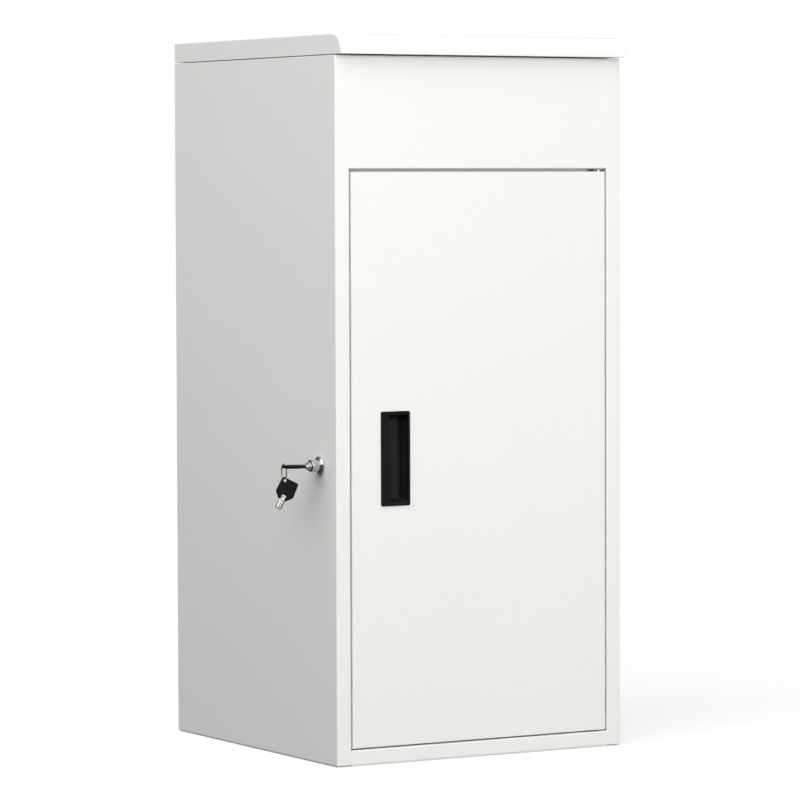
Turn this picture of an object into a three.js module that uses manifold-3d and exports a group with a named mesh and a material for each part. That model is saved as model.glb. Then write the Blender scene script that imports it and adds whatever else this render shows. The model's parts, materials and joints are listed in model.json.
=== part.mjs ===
// Parcel drop box: a free-standing cabinet of folded 1 mm sheet steel. A parcel goes in under the
// top lid, which lifts an anti-theft tray as it opens and lets the parcel slide down as it shuts.
// The front door, with a recessed pull, is held by a tubular cam lock in the left side. The key and
// its spare hang on a split ring.
//
// Millimetres. X points right, Y to the back and Z up. The origin is on the floor, under the middle
// of the cabinet.

import * as THREE from 'three';
import { mergeVertices } from 'three/addons/utils/BufferGeometryUtils.js';
import Module from 'manifold-3d';

const wasm = await Module();
wasm.setup();

// ---------------------------------------------------------------- driving dimensions

const WIDTH = 460;
const DEPTH = 475;
const HEIGHT = 1000;
const SHEET = 1; // sheet steel thickness
const BEND = 1; // inside radius of every fold
const FIT = 0.3; // gap between pieces that touch or run on each other
const PAST = 5; // how far a cutting tool runs past the face it cuts

const HALF_WIDTH = WIDTH / 2;
const FRONT = -DEPTH / 2;
const BACK = DEPTH / 2;

const BODY_BOTTOM = 2; // the shell stands this far above the floor, on the base pan
const BODY_TOP = 971.2;
const RIM_TOP = BODY_TOP - SHEET - FIT;
const STILE_EDGE = 207.5; // inner edge of each front stile, from the middle
const STILE_DEPTH = 19.5;
const REAR_RETURN = 18;
const TOP_RETURN = 15; // back panel
const HEM_WIDTH = 3.4; // along the top of each side panel
const RIM = { inner: 215, leg: 12 }; // the angle under the hem, which the lid's bumpers stand on

const PANEL_HALF_WIDTH = STILE_EDGE - FIT; // sill rail and upper front panel
const SILL_TOP = 22;
const UPPER_PANEL_BOTTOM = 816.5;
const UPPER_PANEL_RETURN = 18.5; // under the lid
const STOP_DEPTH = 21; // from the front to the lip that stops the door
const SILL_LIP = 10; // height of the lip behind the door's foot
const UPPER_LIP = 12.5; // height of the lip behind the door's head

const BACK_PANEL_HALF_WIDTH = HALF_WIDTH - SHEET - FIT;
const BACK_PANEL_FACE = BACK - SHEET - FIT; // rear face of the back panel
const BACK_PANEL_TOP = 966;
const WALL_HOLE = { x: 150, low: 250, high: 900, radius: 4.5 };
const ANCHOR_HOLE = { x: 160, y: 170, radius: 6 };
const BASE_UPSTAND = 25;
const BASE_FRONT_UPSTAND = 18;

const DOOR_HALF_WIDTH = 205.3;
const DOOR_BOTTOM = 24.4;
const DOOR_TOP = 812.5;
const DOOR_DEPTH = 18;
const DOOR_BACK = FRONT + DOOR_DEPTH;
const DOOR_RETURN = 14;
const DOOR_EDGE_RADIUS = 1.5;
const DOOR_PIVOT = { x: 197.3, y: FRONT + 6.5, radius: 3 };

const DOOR_BUSH = { flange: 6, tube: 4.4, upperFace: 814.7, upperEnd: 819, lowerEnd: 18.5 };
const DOOR_PLATE = { inner: 189, outer: 203.9, front: FRONT + 1.4, back: FRONT + 15.5, thickness: 1.9 };
const DOOR_STIFFENER = { low: 60, high: 780, rise: 14 };
const BUFFER = { x: -180, upper: 808.5, upperRadius: 4, lower: 28, lowerRadius: 3.5 };
const CATCH = { outer: -204, inner: -188, reach: 10, tip: -203.5, low: 10, high: 38, sheet: 2 };

const PULL = { x: -137, z: 419.9, width: 45.6, height: 130, round: 3 };
const PULL_SHEET = { flange: 1.8, wall: 1.5, lip: 13, rim: 3.5 };
const PULL_LAP = 1.8; // how far the pull's flange lies over the edge of the cup behind it
const PULL_MOUTH_END = 6; // rim above and below the pull's mouth

const LID_BOTTOM = 972.5;
const LID_HALF_WIDTH = HALF_WIDTH - 0.7;
const LID_OVERHANG = 16.3;
const LID_NOSE_RADIUS = 26;
const LID_RETURN = 14;
const STIFFENER = { rise: 14.7, halfTop: 10, halfFoot: 20, halfLength: 190, frontY: -120, rearY: 60 };
const BUMPER = { x: 221, y: 190, radius: 5 };

const HINGE = { y: BACK + 2.5, z: 971.3, radius: 3, bore: 1.8, pin: 1.5 };
const HINGE_HALF_LENGTH = 200;
const KNUCKLES = 10;
const LEAF = { clear: 3.7, tab: 4.5, tabOver: 0.8, low: 940, high: 993 }; // clear, tab: from the axis

const TRAY_PIVOT = { y: 215, z: 824, rod: 4 };
const LID_TRAVEL = THREE.MathUtils.degToRad(75);
const CRANK_ARM = { y: -65, z: -16.3 }; // lid crank, from the hinge to its pin, with the lid shut
const TRAY = { length: 412, tail: 8, halfWidth: 202, floor: -9, wall: 12 };
const CRANK_X = TRAY.halfWidth + FIT;
const CRANK_PLATE = 2;
const LID_CRANK = { behind: 37, ahead: 15, round: 9, flange: 182 };
const TRAY_CRANK = { low: -6, high: 12, end: 9, heel: -62, heelRound: 4, round: 9 };
const LINK = { x: 208, thickness: 2, end: 7, slack: 0.2 };
const LINK_PIN = 3;
const PIN_HEAD = LINK_PIN + 2;
const PIN_STEPS = { head: 200.3, crank: 202, collar: 204.6, link: 207.7, rivet: 210.3, end: 211.8 };
const BRACKET = { foot: 32, rise: 22, web: 219, sheet: 1.5, halfWidth: 14 };
const TRAY_BUSH = { low: 217.2, flangeEnd: 218.7, end: 225, flange: 10, tube: 7 };

const LOCK = { y: FRONT + 44.5, z: 411, bore: 6.3, barrel: 8.5, plug: 6, segments: 32 };
const WALL_FACE = -HALF_WIDTH; // outer face of the left side panel
const HOUSING = { head: WALL_FACE - 16, end: WALL_FACE + 27, flange: 1.8, rim: 10.6 };
const COLLAR = { face: 3.2, edge: 2, land: 2.1, inner: 11, faceRadius: 11.5, radius: 13 };
const NUT = { acrossFlats: 24, thickness: 4 };
const PLUG = { nose: WALL_FACE - 19, end: -199.3, tail: -195.5, halfSquare: 3.75 };
const CAM = { reach: 13, eye: 7.5, tip: 6, thickness: 2.4 };
const SCREW = { start: -201, shank: 2, head: 5, headLength: 3.2 };
const KEY_TIP = WALL_FACE - 12;
const KEY = { tube: 4.75, hollow: 3.3, bore: 9, tubeEnd: 19.7 };
const BOW = { start: 13, neck: 5.8, shoulder: 21, widest: 13.4, end: 42.2, endHalf: 12.2, thickness: 4 };
const BOW_ROUNDS = [1.5, 5, 3.5]; // neck, shoulder and end
const TONGUE = { end: 29, halfWidth: 3, halfThickness: 0.5 };
const KEY_SLOT = { s: 38, low: 1.5, high: 10.5, halfWidth: 2.6, round: 1 };
const WEB = 11.75; // middle of the bow's strip outside the slot, from the key's axis
const RING = { radius: 10.3, wire: 0.75, drop: 7.1, turn: THREE.MathUtils.degToRad(9.5) };
const SPARE_TILT = THREE.MathUtils.degToRad(26);
const SPARE_HELD_AT = { s: 39.5, w: 9.4 }; // where the ring runs through the spare's slot

// ---------------------------------------------------------------- materials

function surface(color, roughness, metalness) {
  return new THREE.MeshStandardMaterial({ color, roughness, metalness });
}

const powderWhite = surface(0xeeedea, 0.5, 0);
const zincSteel = surface(0xb9bdc2, 0.4, 0.9);
const chrome = surface(0xd8dadd, 0.12, 1);
const nickel = surface(0xcfc9b8, 0.22, 1);
const blackPlastic = surface(0x141414, 0.45, 0);
const greyNylon = surface(0xa9abad, 0.5, 0);
const rubber = surface(0x2b2b2b, 0.85, 0);

// ---------------------------------------------------------------- closed meshes

// Leaves only positions, with every shared corner stored once and no collapsed triangle.
function weld(geometry) {
  geometry.deleteAttribute('normal');
  geometry.deleteAttribute('uv');
  const merged = mergeVertices(geometry);
  const corners = merged.index.array;
  const kept = [];
  for (let i = 0; i < corners.length; i += 3) {
    const [a, b, c] = corners.slice(i, i + 3);
    if (a !== b && b !== c && c !== a) kept.push(a, b, c);
  }
  merged.setIndex(kept);
  return merged;
}

function toSolid(geometry) {
  const vertProperties = new Float32Array(geometry.attributes.position.array);
  const triVerts = new Uint32Array(geometry.index.array);
  return new wasm.Manifold(new wasm.Mesh({ numProp: 3, vertProperties, triVerts }));
}

function toGeometry(solid) {
  const { vertProperties, triVerts } = solid.getMesh();
  const geometry = new THREE.BufferGeometry();
  geometry.setAttribute('position', new THREE.BufferAttribute(vertProperties, 3));
  geometry.setIndex(new THREE.BufferAttribute(triVerts, 1));
  return geometry;
}

function join(...pieces) {
  return toGeometry(pieces.map(toSolid).reduce((whole, piece) => whole.add(piece)));
}

function cut(piece, ...tools) {
  return toGeometry(tools.map(toSolid).reduce((rest, tool) => rest.subtract(tool), toSolid(piece)));
}

// ---------------------------------------------------------------- outlines

// Closed outline through `points`, each corner rounded by its radius in `radii` (0 or none: sharp).
function outline(points, radii = []) {
  const shape = new THREE.Shape();
  const corners = points.map(([a, b]) => new THREE.Vector2(a, b));
  corners.forEach((corner, i) => {
    const into = corner.clone().sub(corners.at(i - 1)).normalize();
    const out = corners[(i + 1) % corners.length].clone().sub(corner).normalize();
    const radius = radii[i] ?? 0;
    const angle = Math.acos(THREE.MathUtils.clamp(into.dot(out), -1, 1));
    const hand = Math.sign(into.cross(out));
    const start = corner.clone().addScaledVector(into, -radius * Math.tan(angle / 2));
    if (i === 0) shape.moveTo(start.x, start.y);
    else shape.lineTo(start.x, start.y);
    if (radius > 0) {
      const inward = new THREE.Vector2(-into.y, into.x).multiplyScalar(hand * radius);
      const centre = start.clone().add(inward);
      const from = Math.atan2(start.y - centre.y, start.x - centre.x);
      shape.absarc(centre.x, centre.y, radius, from, from + hand * angle, hand < 0);
    }
  });
  return shape;
}

// Section of a folded sheet. `path` runs along one face, and the sheet lies on its left (side 1) or
// right (-1).
function foldedSheet(path, side, thickness = SHEET) {
  const face = path.map(([a, b]) => new THREE.Vector2(a, b));
  const directions = face.slice(1).map((point, i) => point.clone().sub(face[i]).normalize());
  const faceRadii = [];
  const otherRadii = [];
  const other = face.map((point, i) => {
    const into = directions[Math.max(i - 1, 0)];
    const out = directions[Math.min(i, directions.length - 1)];
    const folded = i > 0 && i < face.length - 1;
    const outside = into.cross(out) * side > 0;
    faceRadii.push(folded ? BEND + (outside ? thickness : 0) : 0);
    otherRadii.push(folded ? BEND + (outside ? 0 : thickness) : 0);
    const across = new THREE.Vector2(-into.y - out.y, into.x + out.x);
    return point.clone().addScaledVector(across, (side * thickness) / (1 + into.dot(out)));
  });
  const points = [...face, ...other.reverse()].map((point) => [point.x, point.y]);
  return outline(points, [...faceRadii, ...otherRadii.reverse()]);
}

// Strap with round ends about points a and b.
function strap(a, b, radiusA, radiusB = radiusA) {
  const along = Math.atan2(b[1] - a[1], b[0] - a[0]);
  const length = Math.hypot(b[0] - a[0], b[1] - a[1]);
  const spread = Math.acos((radiusA - radiusB) / length);
  const shape = new THREE.Shape();
  shape.absarc(b[0], b[1], radiusB, along - spread, along + spread, false);
  shape.absarc(a[0], a[1], radiusA, along + spread, along - spread, false);
  return shape;
}

function rectangle(low, high, radius = 0) {
  const points = [[low[0], low[1]], [high[0], low[1]], [high[0], high[1]], [low[0], high[1]]];
  return outline(points, [radius, radius, radius, radius]);
}

function hexagon(acrossFlats) {
  const radius = acrossFlats / Math.sqrt(3);
  const angles = [0, 1, 2, 3, 4, 5].map((corner) => (corner * Math.PI) / 3);
  return outline(angles.map((angle) => [radius * Math.cos(angle), radius * Math.sin(angle)]));
}

// ---------------------------------------------------------------- simple pieces

function extruded(shape, depth, curveSegments) {
  return weld(new THREE.ExtrudeGeometry(shape, { depth, bevelEnabled: false, curveSegments }));
}

function inFrame(geometry, xAxis, yAxis, zAxis, origin) {
  const matrix = new THREE.Matrix4().makeBasis(xAxis, yAxis, zAxis).setPosition(...origin);
  return geometry.applyMatrix4(matrix);
}

const X_AXIS = new THREE.Vector3(1, 0, 0);
const Y_AXIS = new THREE.Vector3(0, 1, 0);
const Z_AXIS = new THREE.Vector3(0, 0, 1);

// Outline in (y, z), from x0 to x1.
function extrudeX(shape, x0, x1, curveSegments = 2) {
  const piece = extruded(shape, Math.abs(x1 - x0), curveSegments);
  return inFrame(piece, Y_AXIS, Z_AXIS, X_AXIS, [Math.min(x0, x1), 0, 0]);
}

// Outline in (x, z), from y0 to y1.
function extrudeY(shape, y0, y1, curveSegments = 2) {
  const piece = extruded(shape, Math.abs(y1 - y0), curveSegments);
  return inFrame(piece, X_AXIS, Z_AXIS, Y_AXIS.clone().negate(), [0, Math.max(y0, y1), 0]);
}

// Outline in (x, y), from z0 to z1.
function extrudeZ(shape, z0, z1, curveSegments = 2) {
  const piece = extruded(shape, Math.abs(z1 - z0), curveSegments);
  return inFrame(piece, X_AXIS, Y_AXIS, Z_AXIS, [0, 0, Math.min(z0, z1)]);
}

function box(low, high) {
  const size = high.map((value, i) => value - low[i]);
  const middle = high.map((value, i) => (value + low[i]) / 2);
  return weld(new THREE.BoxGeometry(...size)).translate(...middle);
}

// Round piece about an axis: the profile is a list of [place along the axis, radius].
function turned(profile, segments) {
  const rising = profile[0][0] > profile.at(-1)[0] ? [...profile].reverse() : profile;
  const points = rising.map(([place, radius]) => new THREE.Vector2(radius, place));
  return weld(new THREE.LatheGeometry(points, segments));
}

function turnedX(profile, y, z, segments = 16) {
  return turned(profile, segments).rotateZ(-Math.PI / 2).translate(0, y, z);
}

function turnedY(profile, x, z, segments = 16) {
  return turned(profile, segments).translate(x, 0, z);
}

function turnedZ(profile, x, y, segments = 16) {
  return turned(profile, segments).rotateX(Math.PI / 2).translate(x, y, 0);
}

// Profile of a plain turned rod.
function rod(from, to, radius) {
  return [[from, 0], [from, radius], [to, radius], [to, 0]];
}

// Two places on X, given from the middle outwards, on the left (side -1) or right (1), low one first.
function onSide(side, from, to) {
  return side > 0 ? [from, to] : [-to, -from];
}

// ---------------------------------------------------------------- cabinet shell

// Side panel: the wall, the front stile folded round its corner, the rear return and the hem under
// the lid.
function sidePanel(side) {
  const section = [
    [-STILE_EDGE, FRONT + STILE_DEPTH],
    [-STILE_EDGE, FRONT],
    [-HALF_WIDTH, FRONT],
    [-HALF_WIDTH, BACK],
    [-HALF_WIDTH + REAR_RETURN, BACK],
  ].map(([x, y]) => [-side * x, y]);
  const wall = extrudeZ(foldedSheet(section, side), BODY_BOTTOM, BODY_TOP);
  const [hemLow, hemHigh] = onSide(side, HALF_WIDTH - HEM_WIDTH, HALF_WIDTH - SHEET / 2);
  const hemStart = FRONT + STILE_DEPTH - SHEET / 2;
  const hem = box([hemLow, hemStart, BODY_TOP - SHEET], [hemHigh, BACK - SHEET / 2, BODY_TOP]);
  const capCorners = [
    [side * HALF_WIDTH, FRONT],
    [side * STILE_EDGE, FRONT],
    [side * STILE_EDGE, FRONT + STILE_DEPTH],
    [side * HALF_WIDTH, FRONT + STILE_DEPTH],
  ];
  const corner = BEND + SHEET;
  const cap = extrudeZ(outline(capCorners, [corner, corner]), BODY_TOP - SHEET, BODY_TOP);
  return join(wall, hem, cap);
}

// Angle inside the top of a side panel, with its upper face just under the hem.
function rimAngle(side) {
  const outer = HALF_WIDTH - SHEET - FIT;
  const section = [[RIM.inner, RIM_TOP], [outer, RIM_TOP], [outer, RIM_TOP - RIM.leg]];
  const shape = foldedSheet(section.map(([x, z]) => [side * x, z]), -side);
  return extrudeY(shape, FRONT + STILE_DEPTH + FIT, BACK_PANEL_FACE - TOP_RETURN - FIT);
}

function leftSidePanel() {
  const throughWall = rod(WALL_FACE - PAST, WALL_FACE + PAST, LOCK.barrel + FIT);
  return cut(sidePanel(-1), turnedX(throughWall, LOCK.y, LOCK.z, LOCK.segments));
}

function backPanel() {
  const section = [
    [BACK_PANEL_FACE - TOP_RETURN, BACK_PANEL_TOP],
    [BACK_PANEL_FACE, BACK_PANEL_TOP],
    [BACK_PANEL_FACE, BODY_BOTTOM],
  ];
  const half = BACK_PANEL_HALF_WIDTH;
  const panel = extrudeX(foldedSheet(section, -1), -half, half);
  const holes = [];
  for (const x of [-WALL_HOLE.x, WALL_HOLE.x]) {
    for (const z of [WALL_HOLE.low, WALL_HOLE.high]) {
      holes.push(turnedY(rod(BACK - PAST, BACK + PAST, WALL_HOLE.radius), x, z));
    }
  }
  return cut(panel, ...holes);
}

// Base pan: the floor, with upstands all round; the front one is lower and narrower, to clear the
// stiles.
function basePan() {
  const half = BACK_PANEL_HALF_WIDTH;
  const front = FRONT + SHEET + FIT;
  const back = BACK_PANEL_FACE - SHEET - FIT;
  const behindFront = front + SHEET + 1;
  const above = BASE_UPSTAND + PAST;
  const pan = box([-half, front, 0], [half, back, BASE_UPSTAND]);
  const hollow = box([-half + SHEET, front + SHEET, SHEET], [half - SHEET, back - SHEET, above]);
  const overFront = box(
    [-half - PAST, front - PAST, BASE_FRONT_UPSTAND],
    [half + PAST, behindFront, above],
  );
  const frontCorners = [-1, 1].map((side) => {
    const [low, high] = onSide(side, PANEL_HALF_WIDTH, half + PAST);
    return box([low, front - PAST, SHEET], [high, behindFront, above]);
  });
  const anchors = [];
  for (const x of [-ANCHOR_HOLE.x, ANCHOR_HOLE.x]) {
    for (const y of [-ANCHOR_HOLE.y, ANCHOR_HOLE.y]) {
      anchors.push(turnedZ(rod(-PAST, PAST, ANCHOR_HOLE.radius), x, y));
    }
  }
  return cut(pan, hollow, overFront, ...frontCorners, ...anchors);
}

function pivotBushHole(z) {
  return turnedZ(rod(z - PAST, z + PAST, DOOR_BUSH.tube + FIT), DOOR_PIVOT.x, DOOR_PIVOT.y);
}

function sillRail() {
  const section = [
    [FRONT, BODY_BOTTOM],
    [FRONT, SILL_TOP],
    [FRONT + STOP_DEPTH, SILL_TOP],
    [FRONT + STOP_DEPTH, SILL_TOP + SILL_LIP],
  ];
  const rail = extrudeX(foldedSheet(section, -1), -PANEL_HALF_WIDTH, PANEL_HALF_WIDTH);
  return cut(rail, pivotBushHole(SILL_TOP));
}

function upperFrontPanel() {
  const section = [
    [FRONT + UPPER_PANEL_RETURN, BODY_TOP],
    [FRONT, BODY_TOP],
    [FRONT, UPPER_PANEL_BOTTOM],
    [FRONT + STOP_DEPTH, UPPER_PANEL_BOTTOM],
    [FRONT + STOP_DEPTH, UPPER_PANEL_BOTTOM - UPPER_LIP],
  ];
  const panel = extrudeX(foldedSheet(section, 1), -PANEL_HALF_WIDTH, PANEL_HALF_WIDTH);
  return cut(panel, pivotBushHole(UPPER_PANEL_BOTTOM));
}

// ---------------------------------------------------------------- lid hinge

// One leaf of the long hinge: a plate, and on every second knuckle's place a tab that carries the
// knuckle.
function hingeLeaf(plateY, plateZ, tabY, tabZ, firstKnuckle) {
  const half = HINGE_HALF_LENGTH;
  const pitch = (2 * half) / KNUCKLES;
  const pieces = [box([-half, plateY[0], plateZ[0]], [half, plateY[1], plateZ[1]])];
  for (let i = firstKnuckle; i < KNUCKLES; i += 2) {
    const start = -half + i * pitch + FIT / 2;
    const end = start + pitch - FIT;
    pieces.push(box([start, tabY[0], tabZ[0]], [end, tabY[1], tabZ[1]]));
    pieces.push(turnedX(rod(start, end, HINGE.radius), HINGE.y, HINGE.z));
  }
  const bore = turnedX(rod(-half - PAST, half + PAST, HINGE.bore), HINGE.y, HINGE.z, 12);
  return cut(join(...pieces), bore);
}

function bodyLeaf() {
  const inner = BACK - SHEET;
  return hingeLeaf(
    [inner, BACK],
    [LEAF.low, HINGE.z - LEAF.clear],
    [inner, BACK + LEAF.tabOver],
    [HINGE.z - LEAF.tab, HINGE.z],
    0,
  );
}

function lidLeaf() {
  const inner = BACK + FIT;
  const outer = inner + SHEET;
  return hingeLeaf(
    [inner, outer],
    [HINGE.z + LEAF.clear, LEAF.high],
    [inner, outer],
    [HINGE.z + SHEET, HINGE.z + LEAF.tab],
    1,
  );
}

// ---------------------------------------------------------------- lid

// Section of the lid from the back over the top to the rolled front edge, `inset` inside the outer
// face.
function lidSection(inset, bottom) {
  const shape = new THREE.Shape();
  const noseY = FRONT - LID_OVERHANG + LID_NOSE_RADIUS;
  const noseZ = HEIGHT - LID_NOSE_RADIUS;
  shape.moveTo(FRONT - LID_OVERHANG + inset, bottom);
  shape.lineTo(BACK - inset, bottom);
  shape.lineTo(BACK - inset, HEIGHT - inset);
  shape.absarc(noseY, noseZ, LID_NOSE_RADIUS - inset, Math.PI / 2, Math.PI, false);
  return shape;
}

// Lid: top, rolled front, side skirts and an inward return; the back skirt is cut away at the hinge.
function lidShell() {
  const outer = extrudeX(lidSection(0, LID_BOTTOM), -LID_HALF_WIDTH, LID_HALF_WIDTH, 8);
  const inner = LID_HALF_WIDTH - SHEET;
  const hollow = extrudeX(lidSection(SHEET, LID_BOTTOM + SHEET), -inner, inner, 8);
  const openHalf = LID_HALF_WIDTH - LID_RETURN;
  const openFront = FRONT - LID_OVERHANG + LID_RETURN + SHEET;
  const below = LID_BOTTOM - PAST;
  const opening = box(
    [-openHalf, openFront, below],
    [openHalf, BACK - SHEET, LID_BOTTOM + 2 * SHEET],
  );
  const hingeHalf = HINGE_HALF_LENGTH + 4;
  const hingeGap = box(
    [-hingeHalf, BACK - 2 * SHEET, below],
    [hingeHalf, BACK + PAST, HINGE.z + LEAF.clear],
  );
  return cut(outer, hollow, opening, hingeGap);
}

// Channel across the hollow side of a sheet, from [across, along] of its first foot to its last.
function channel(middle, base, rise, halfTop, halfFoot) {
  const half = [[halfFoot, base], [halfTop, base], [halfTop, base + rise]];
  const mirrored = half.map(([across, along]) => [-across, along]);
  const section = [...mirrored, ...half.reverse()];
  return section.map(([across, along]) => [middle + across, along]);
}

function lidStiffener(y) {
  const { rise, halfTop, halfFoot, halfLength } = STIFFENER;
  const section = channel(y, HEIGHT - SHEET - FIT, -rise, halfTop, halfFoot);
  return extrudeX(foldedSheet(section, -1), -halfLength, halfLength);
}

const LID_PIN = { y: HINGE.y + CRANK_ARM.y, z: HINGE.z + CRANK_ARM.z };

function holeX(side, y, z, radius, segments = 16) {
  const [low, high] = onSide(side, CRANK_X - PAST, LINK.x + 2 * PAST);
  return turnedX(rod(low, high, radius), y, z, segments);
}

// Lid crank: a plate hanging from a flange under the lid's top, with the link's pin at its lower end.
function lidCrank(side) {
  const { behind, ahead, round, flange } = LID_CRANK;
  const { y, z } = LID_PIN;
  const top = HEIGHT - SHEET - FIT;
  const corners = [[y - ahead, top], [y + behind, top], [y + round, z - round], [y - round, z - round]];
  const corner = round - 1;
  const shape = outline(corners, [0, 0, corner, corner]);
  const plate = extrudeX(shape, side * CRANK_X, side * (CRANK_X + CRANK_PLATE), 3);
  const [low, high] = onSide(side, flange, CRANK_X + CRANK_PLATE);
  const under = box([low, y - ahead, top - CRANK_PLATE], [high, y + behind, top]);
  return cut(join(plate, under), holeX(side, y, z, LINK_PIN + FIT));
}

// Headed pin with a collar between crank and link, and a riveted head outside the link.
function linkPin(side, y, z) {
  const { head, crank, collar, link: linkStart, rivet, end } = PIN_STEPS;
  const profile = [
    [head, 0],
    [head, PIN_HEAD],
    [crank, PIN_HEAD],
    [crank, LINK_PIN],
    [collar, LINK_PIN],
    [collar, PIN_HEAD],
    [linkStart, PIN_HEAD],
    [linkStart, LINK_PIN],
    [rivet, LINK_PIN],
    [rivet, PIN_HEAD],
    [end, PIN_HEAD],
    [end, 0],
  ].map(([x, radius]) => [side * x, radius]);
  return turnedX(profile, y, z, 12);
}

// ---------------------------------------------------------------- tray and links

// The tray is drawn lying level, as it is with the lid fully open, about its pivot rod's axis.
function trayPanel() {
  const { length, tail, halfWidth, floor, wall } = TRAY;
  const outer = box([-halfWidth, -length, floor], [halfWidth, tail, wall]);
  const hollow = box(
    [-halfWidth + SHEET, -length + SHEET, floor + SHEET],
    [halfWidth - SHEET, tail + PAST, wall + PAST],
  );
  const across = rod(-halfWidth - PAST, halfWidth + PAST, TRAY_PIVOT.rod + FIT);
  const rodHole = turnedX(across, 0, 0);
  return cut(outer, hollow, rodHole);
}

// Where the link's lower pin sits on the tray crank with the tray level.
function trayPin() {
  const arm = new THREE.Vector2(CRANK_ARM.y, CRANK_ARM.z);
  arm.rotateAround(new THREE.Vector2(), -LID_TRAVEL);
  return { y: arm.x, z: arm.y };
}

function trayCrank(side) {
  const { low, high, end, heel, heelRound, round } = TRAY_CRANK;
  const { y, z } = trayPin();
  const eye = [[y + round, z + round], [y - round, z + round]];
  const corner = round - 1;
  const radii = [heelRound, corner, corner, heelRound, heelRound];
  const shape = outline([[end, low], ...eye, [heel, high], [heel, low]], radii);
  const plate = extrudeX(shape, side * CRANK_X, side * (CRANK_X + CRANK_PLATE), 3);
  return cut(
    plate,
    holeX(side, 0, 0, TRAY_PIVOT.rod + FIT),
    holeX(side, y, z, LINK_PIN + FIT),
  );
}

function trayRod() {
  return turnedX(rod(-TRAY_BUSH.end, TRAY_BUSH.end, TRAY_PIVOT.rod), 0, 0, 20);
}

function link(side) {
  const { x, thickness, end, slack } = LINK;
  const low = [LID_PIN.y + TRAY_PIVOT.y - HINGE.y, LID_PIN.z + TRAY_PIVOT.z - HINGE.z];
  const shape = strap([LID_PIN.y, LID_PIN.z], low, end);
  const bar = extrudeX(shape, side * x, side * (x + thickness), 4);
  return cut(
    bar,
    holeX(side, LID_PIN.y, LID_PIN.z, LINK_PIN + FIT),
    holeX(side, ...low, LINK_PIN + FIT + slack),
  );
}

// Hat bracket on the inside of the side panel, and the flanged nylon bush that carries the rod in it.
function trayBracket(side) {
  const { foot, rise, web, sheet, halfWidth } = BRACKET;
  const { y, z } = TRAY_PIVOT;
  const base = HALF_WIDTH - SHEET - FIT - sheet;
  const section = channel(z, base, web - base, rise, foot).map(([height, x]) => [side * x, height]);
  const hat = extrudeY(foldedSheet(section, -side, sheet), y - halfWidth, y + halfWidth);
  const [low, high] = onSide(side, web - PAST, web + PAST);
  return cut(hat, turnedX(rod(low, high, TRAY_BUSH.tube + FIT), y, z, 20));
}

function trayBush(side) {
  const { low, flangeEnd, end, flange, tube } = TRAY_BUSH;
  const bore = TRAY_PIVOT.rod + FIT;
  const profile = [
    [low, bore],
    [low, flange],
    [flangeEnd, flange],
    [flangeEnd, tube],
    [end, tube],
    [end, bore],
    [low, bore],
  ].map(([x, radius]) => [side * x, radius]);
  return turnedX(side > 0 ? profile : profile.reverse(), TRAY_PIVOT.y, TRAY_PIVOT.z, 20);
}

// ---------------------------------------------------------------- door

function doorSkin() {
  const corners = [
    [-DOOR_HALF_WIDTH, FRONT],
    [DOOR_HALF_WIDTH, FRONT],
    [DOOR_HALF_WIDTH, DOOR_BACK],
    [-DOOR_HALF_WIDTH, DOOR_BACK],
  ];
  const radii = [DOOR_EDGE_RADIUS, DOOR_EDGE_RADIUS];
  const outer = extrudeZ(outline(corners, radii), DOOR_BOTTOM, DOOR_TOP);
  const inner = DOOR_HALF_WIDTH - SHEET;
  const hollow = box(
    [-inner, FRONT + SHEET, DOOR_BOTTOM + SHEET],
    [inner, DOOR_BACK - SHEET, DOOR_TOP - SHEET],
  );
  const open = DOOR_HALF_WIDTH - DOOR_RETURN;
  const rearOpening = box(
    [-open, DOOR_BACK - 2 * SHEET, DOOR_BOTTOM + DOOR_RETURN],
    [open, DOOR_BACK + PAST, DOOR_TOP - DOOR_RETURN],
  );
  const pivotHole = turnedZ(
    rod(DOOR_BOTTOM - PAST, DOOR_TOP + PAST, DOOR_PIVOT.radius + FIT),
    DOOR_PIVOT.x,
    DOOR_PIVOT.y,
  );
  const holeWidth = PULL.width - 2 * (PULL_LAP - FIT);
  const holeHeight = PULL.height - 2 * (PULL_LAP - FIT);
  const cutOut = pullBlock(holeWidth, holeHeight, FRONT - PAST, FRONT + 2 * SHEET);
  return cut(outer, hollow, rearOpening, pivotHole, cutOut);
}

function doorStiffener() {
  const { low, high, rise } = DOOR_STIFFENER;
  const section = channel(0, FRONT + SHEET + FIT, rise, STIFFENER.halfTop, STIFFENER.halfFoot);
  return extrudeZ(foldedSheet(section, 1), low, high);
}

// Block with rounded corners in the pull's place, for the pull itself and for the hole it sits in.
function pullBlock(width, height, y0, y1, shift = 0) {
  const low = [PULL.x + shift - width / 2, PULL.z - height / 2];
  const high = [PULL.x + shift + width / 2, PULL.z + height / 2];
  return extrudeY(rectangle(low, high, PULL.round), y0, y1);
}

// Recessed pull: a flanged cup, with a lip along its left side for the fingers to close behind.
function handleCup() {
  const { width, height } = PULL;
  const { flange, wall, lip, rim } = PULL_SHEET;
  const flangeBack = FRONT - FIT;
  const cupBack = DOOR_BACK + 0.5;
  const cupWidth = width - 2 * PULL_LAP;
  const cupHeight = height - 2 * PULL_LAP;
  const plate = pullBlock(width, height, flangeBack - flange, flangeBack);
  const cup = pullBlock(cupWidth, cupHeight, flangeBack - FIT, cupBack);
  const hollow = pullBlock(
    cupWidth - 2 * wall,
    cupHeight - 2 * wall,
    flangeBack + wall,
    cupBack - wall,
  );
  const mouth = pullBlock(
    width - lip - rim,
    height - 2 * PULL_MOUTH_END,
    flangeBack - 2 * flange,
    flangeBack + 2 * wall,
    (lip - rim) / 2,
  );
  return cut(join(plate, cup), hollow, mouth);
}

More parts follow.
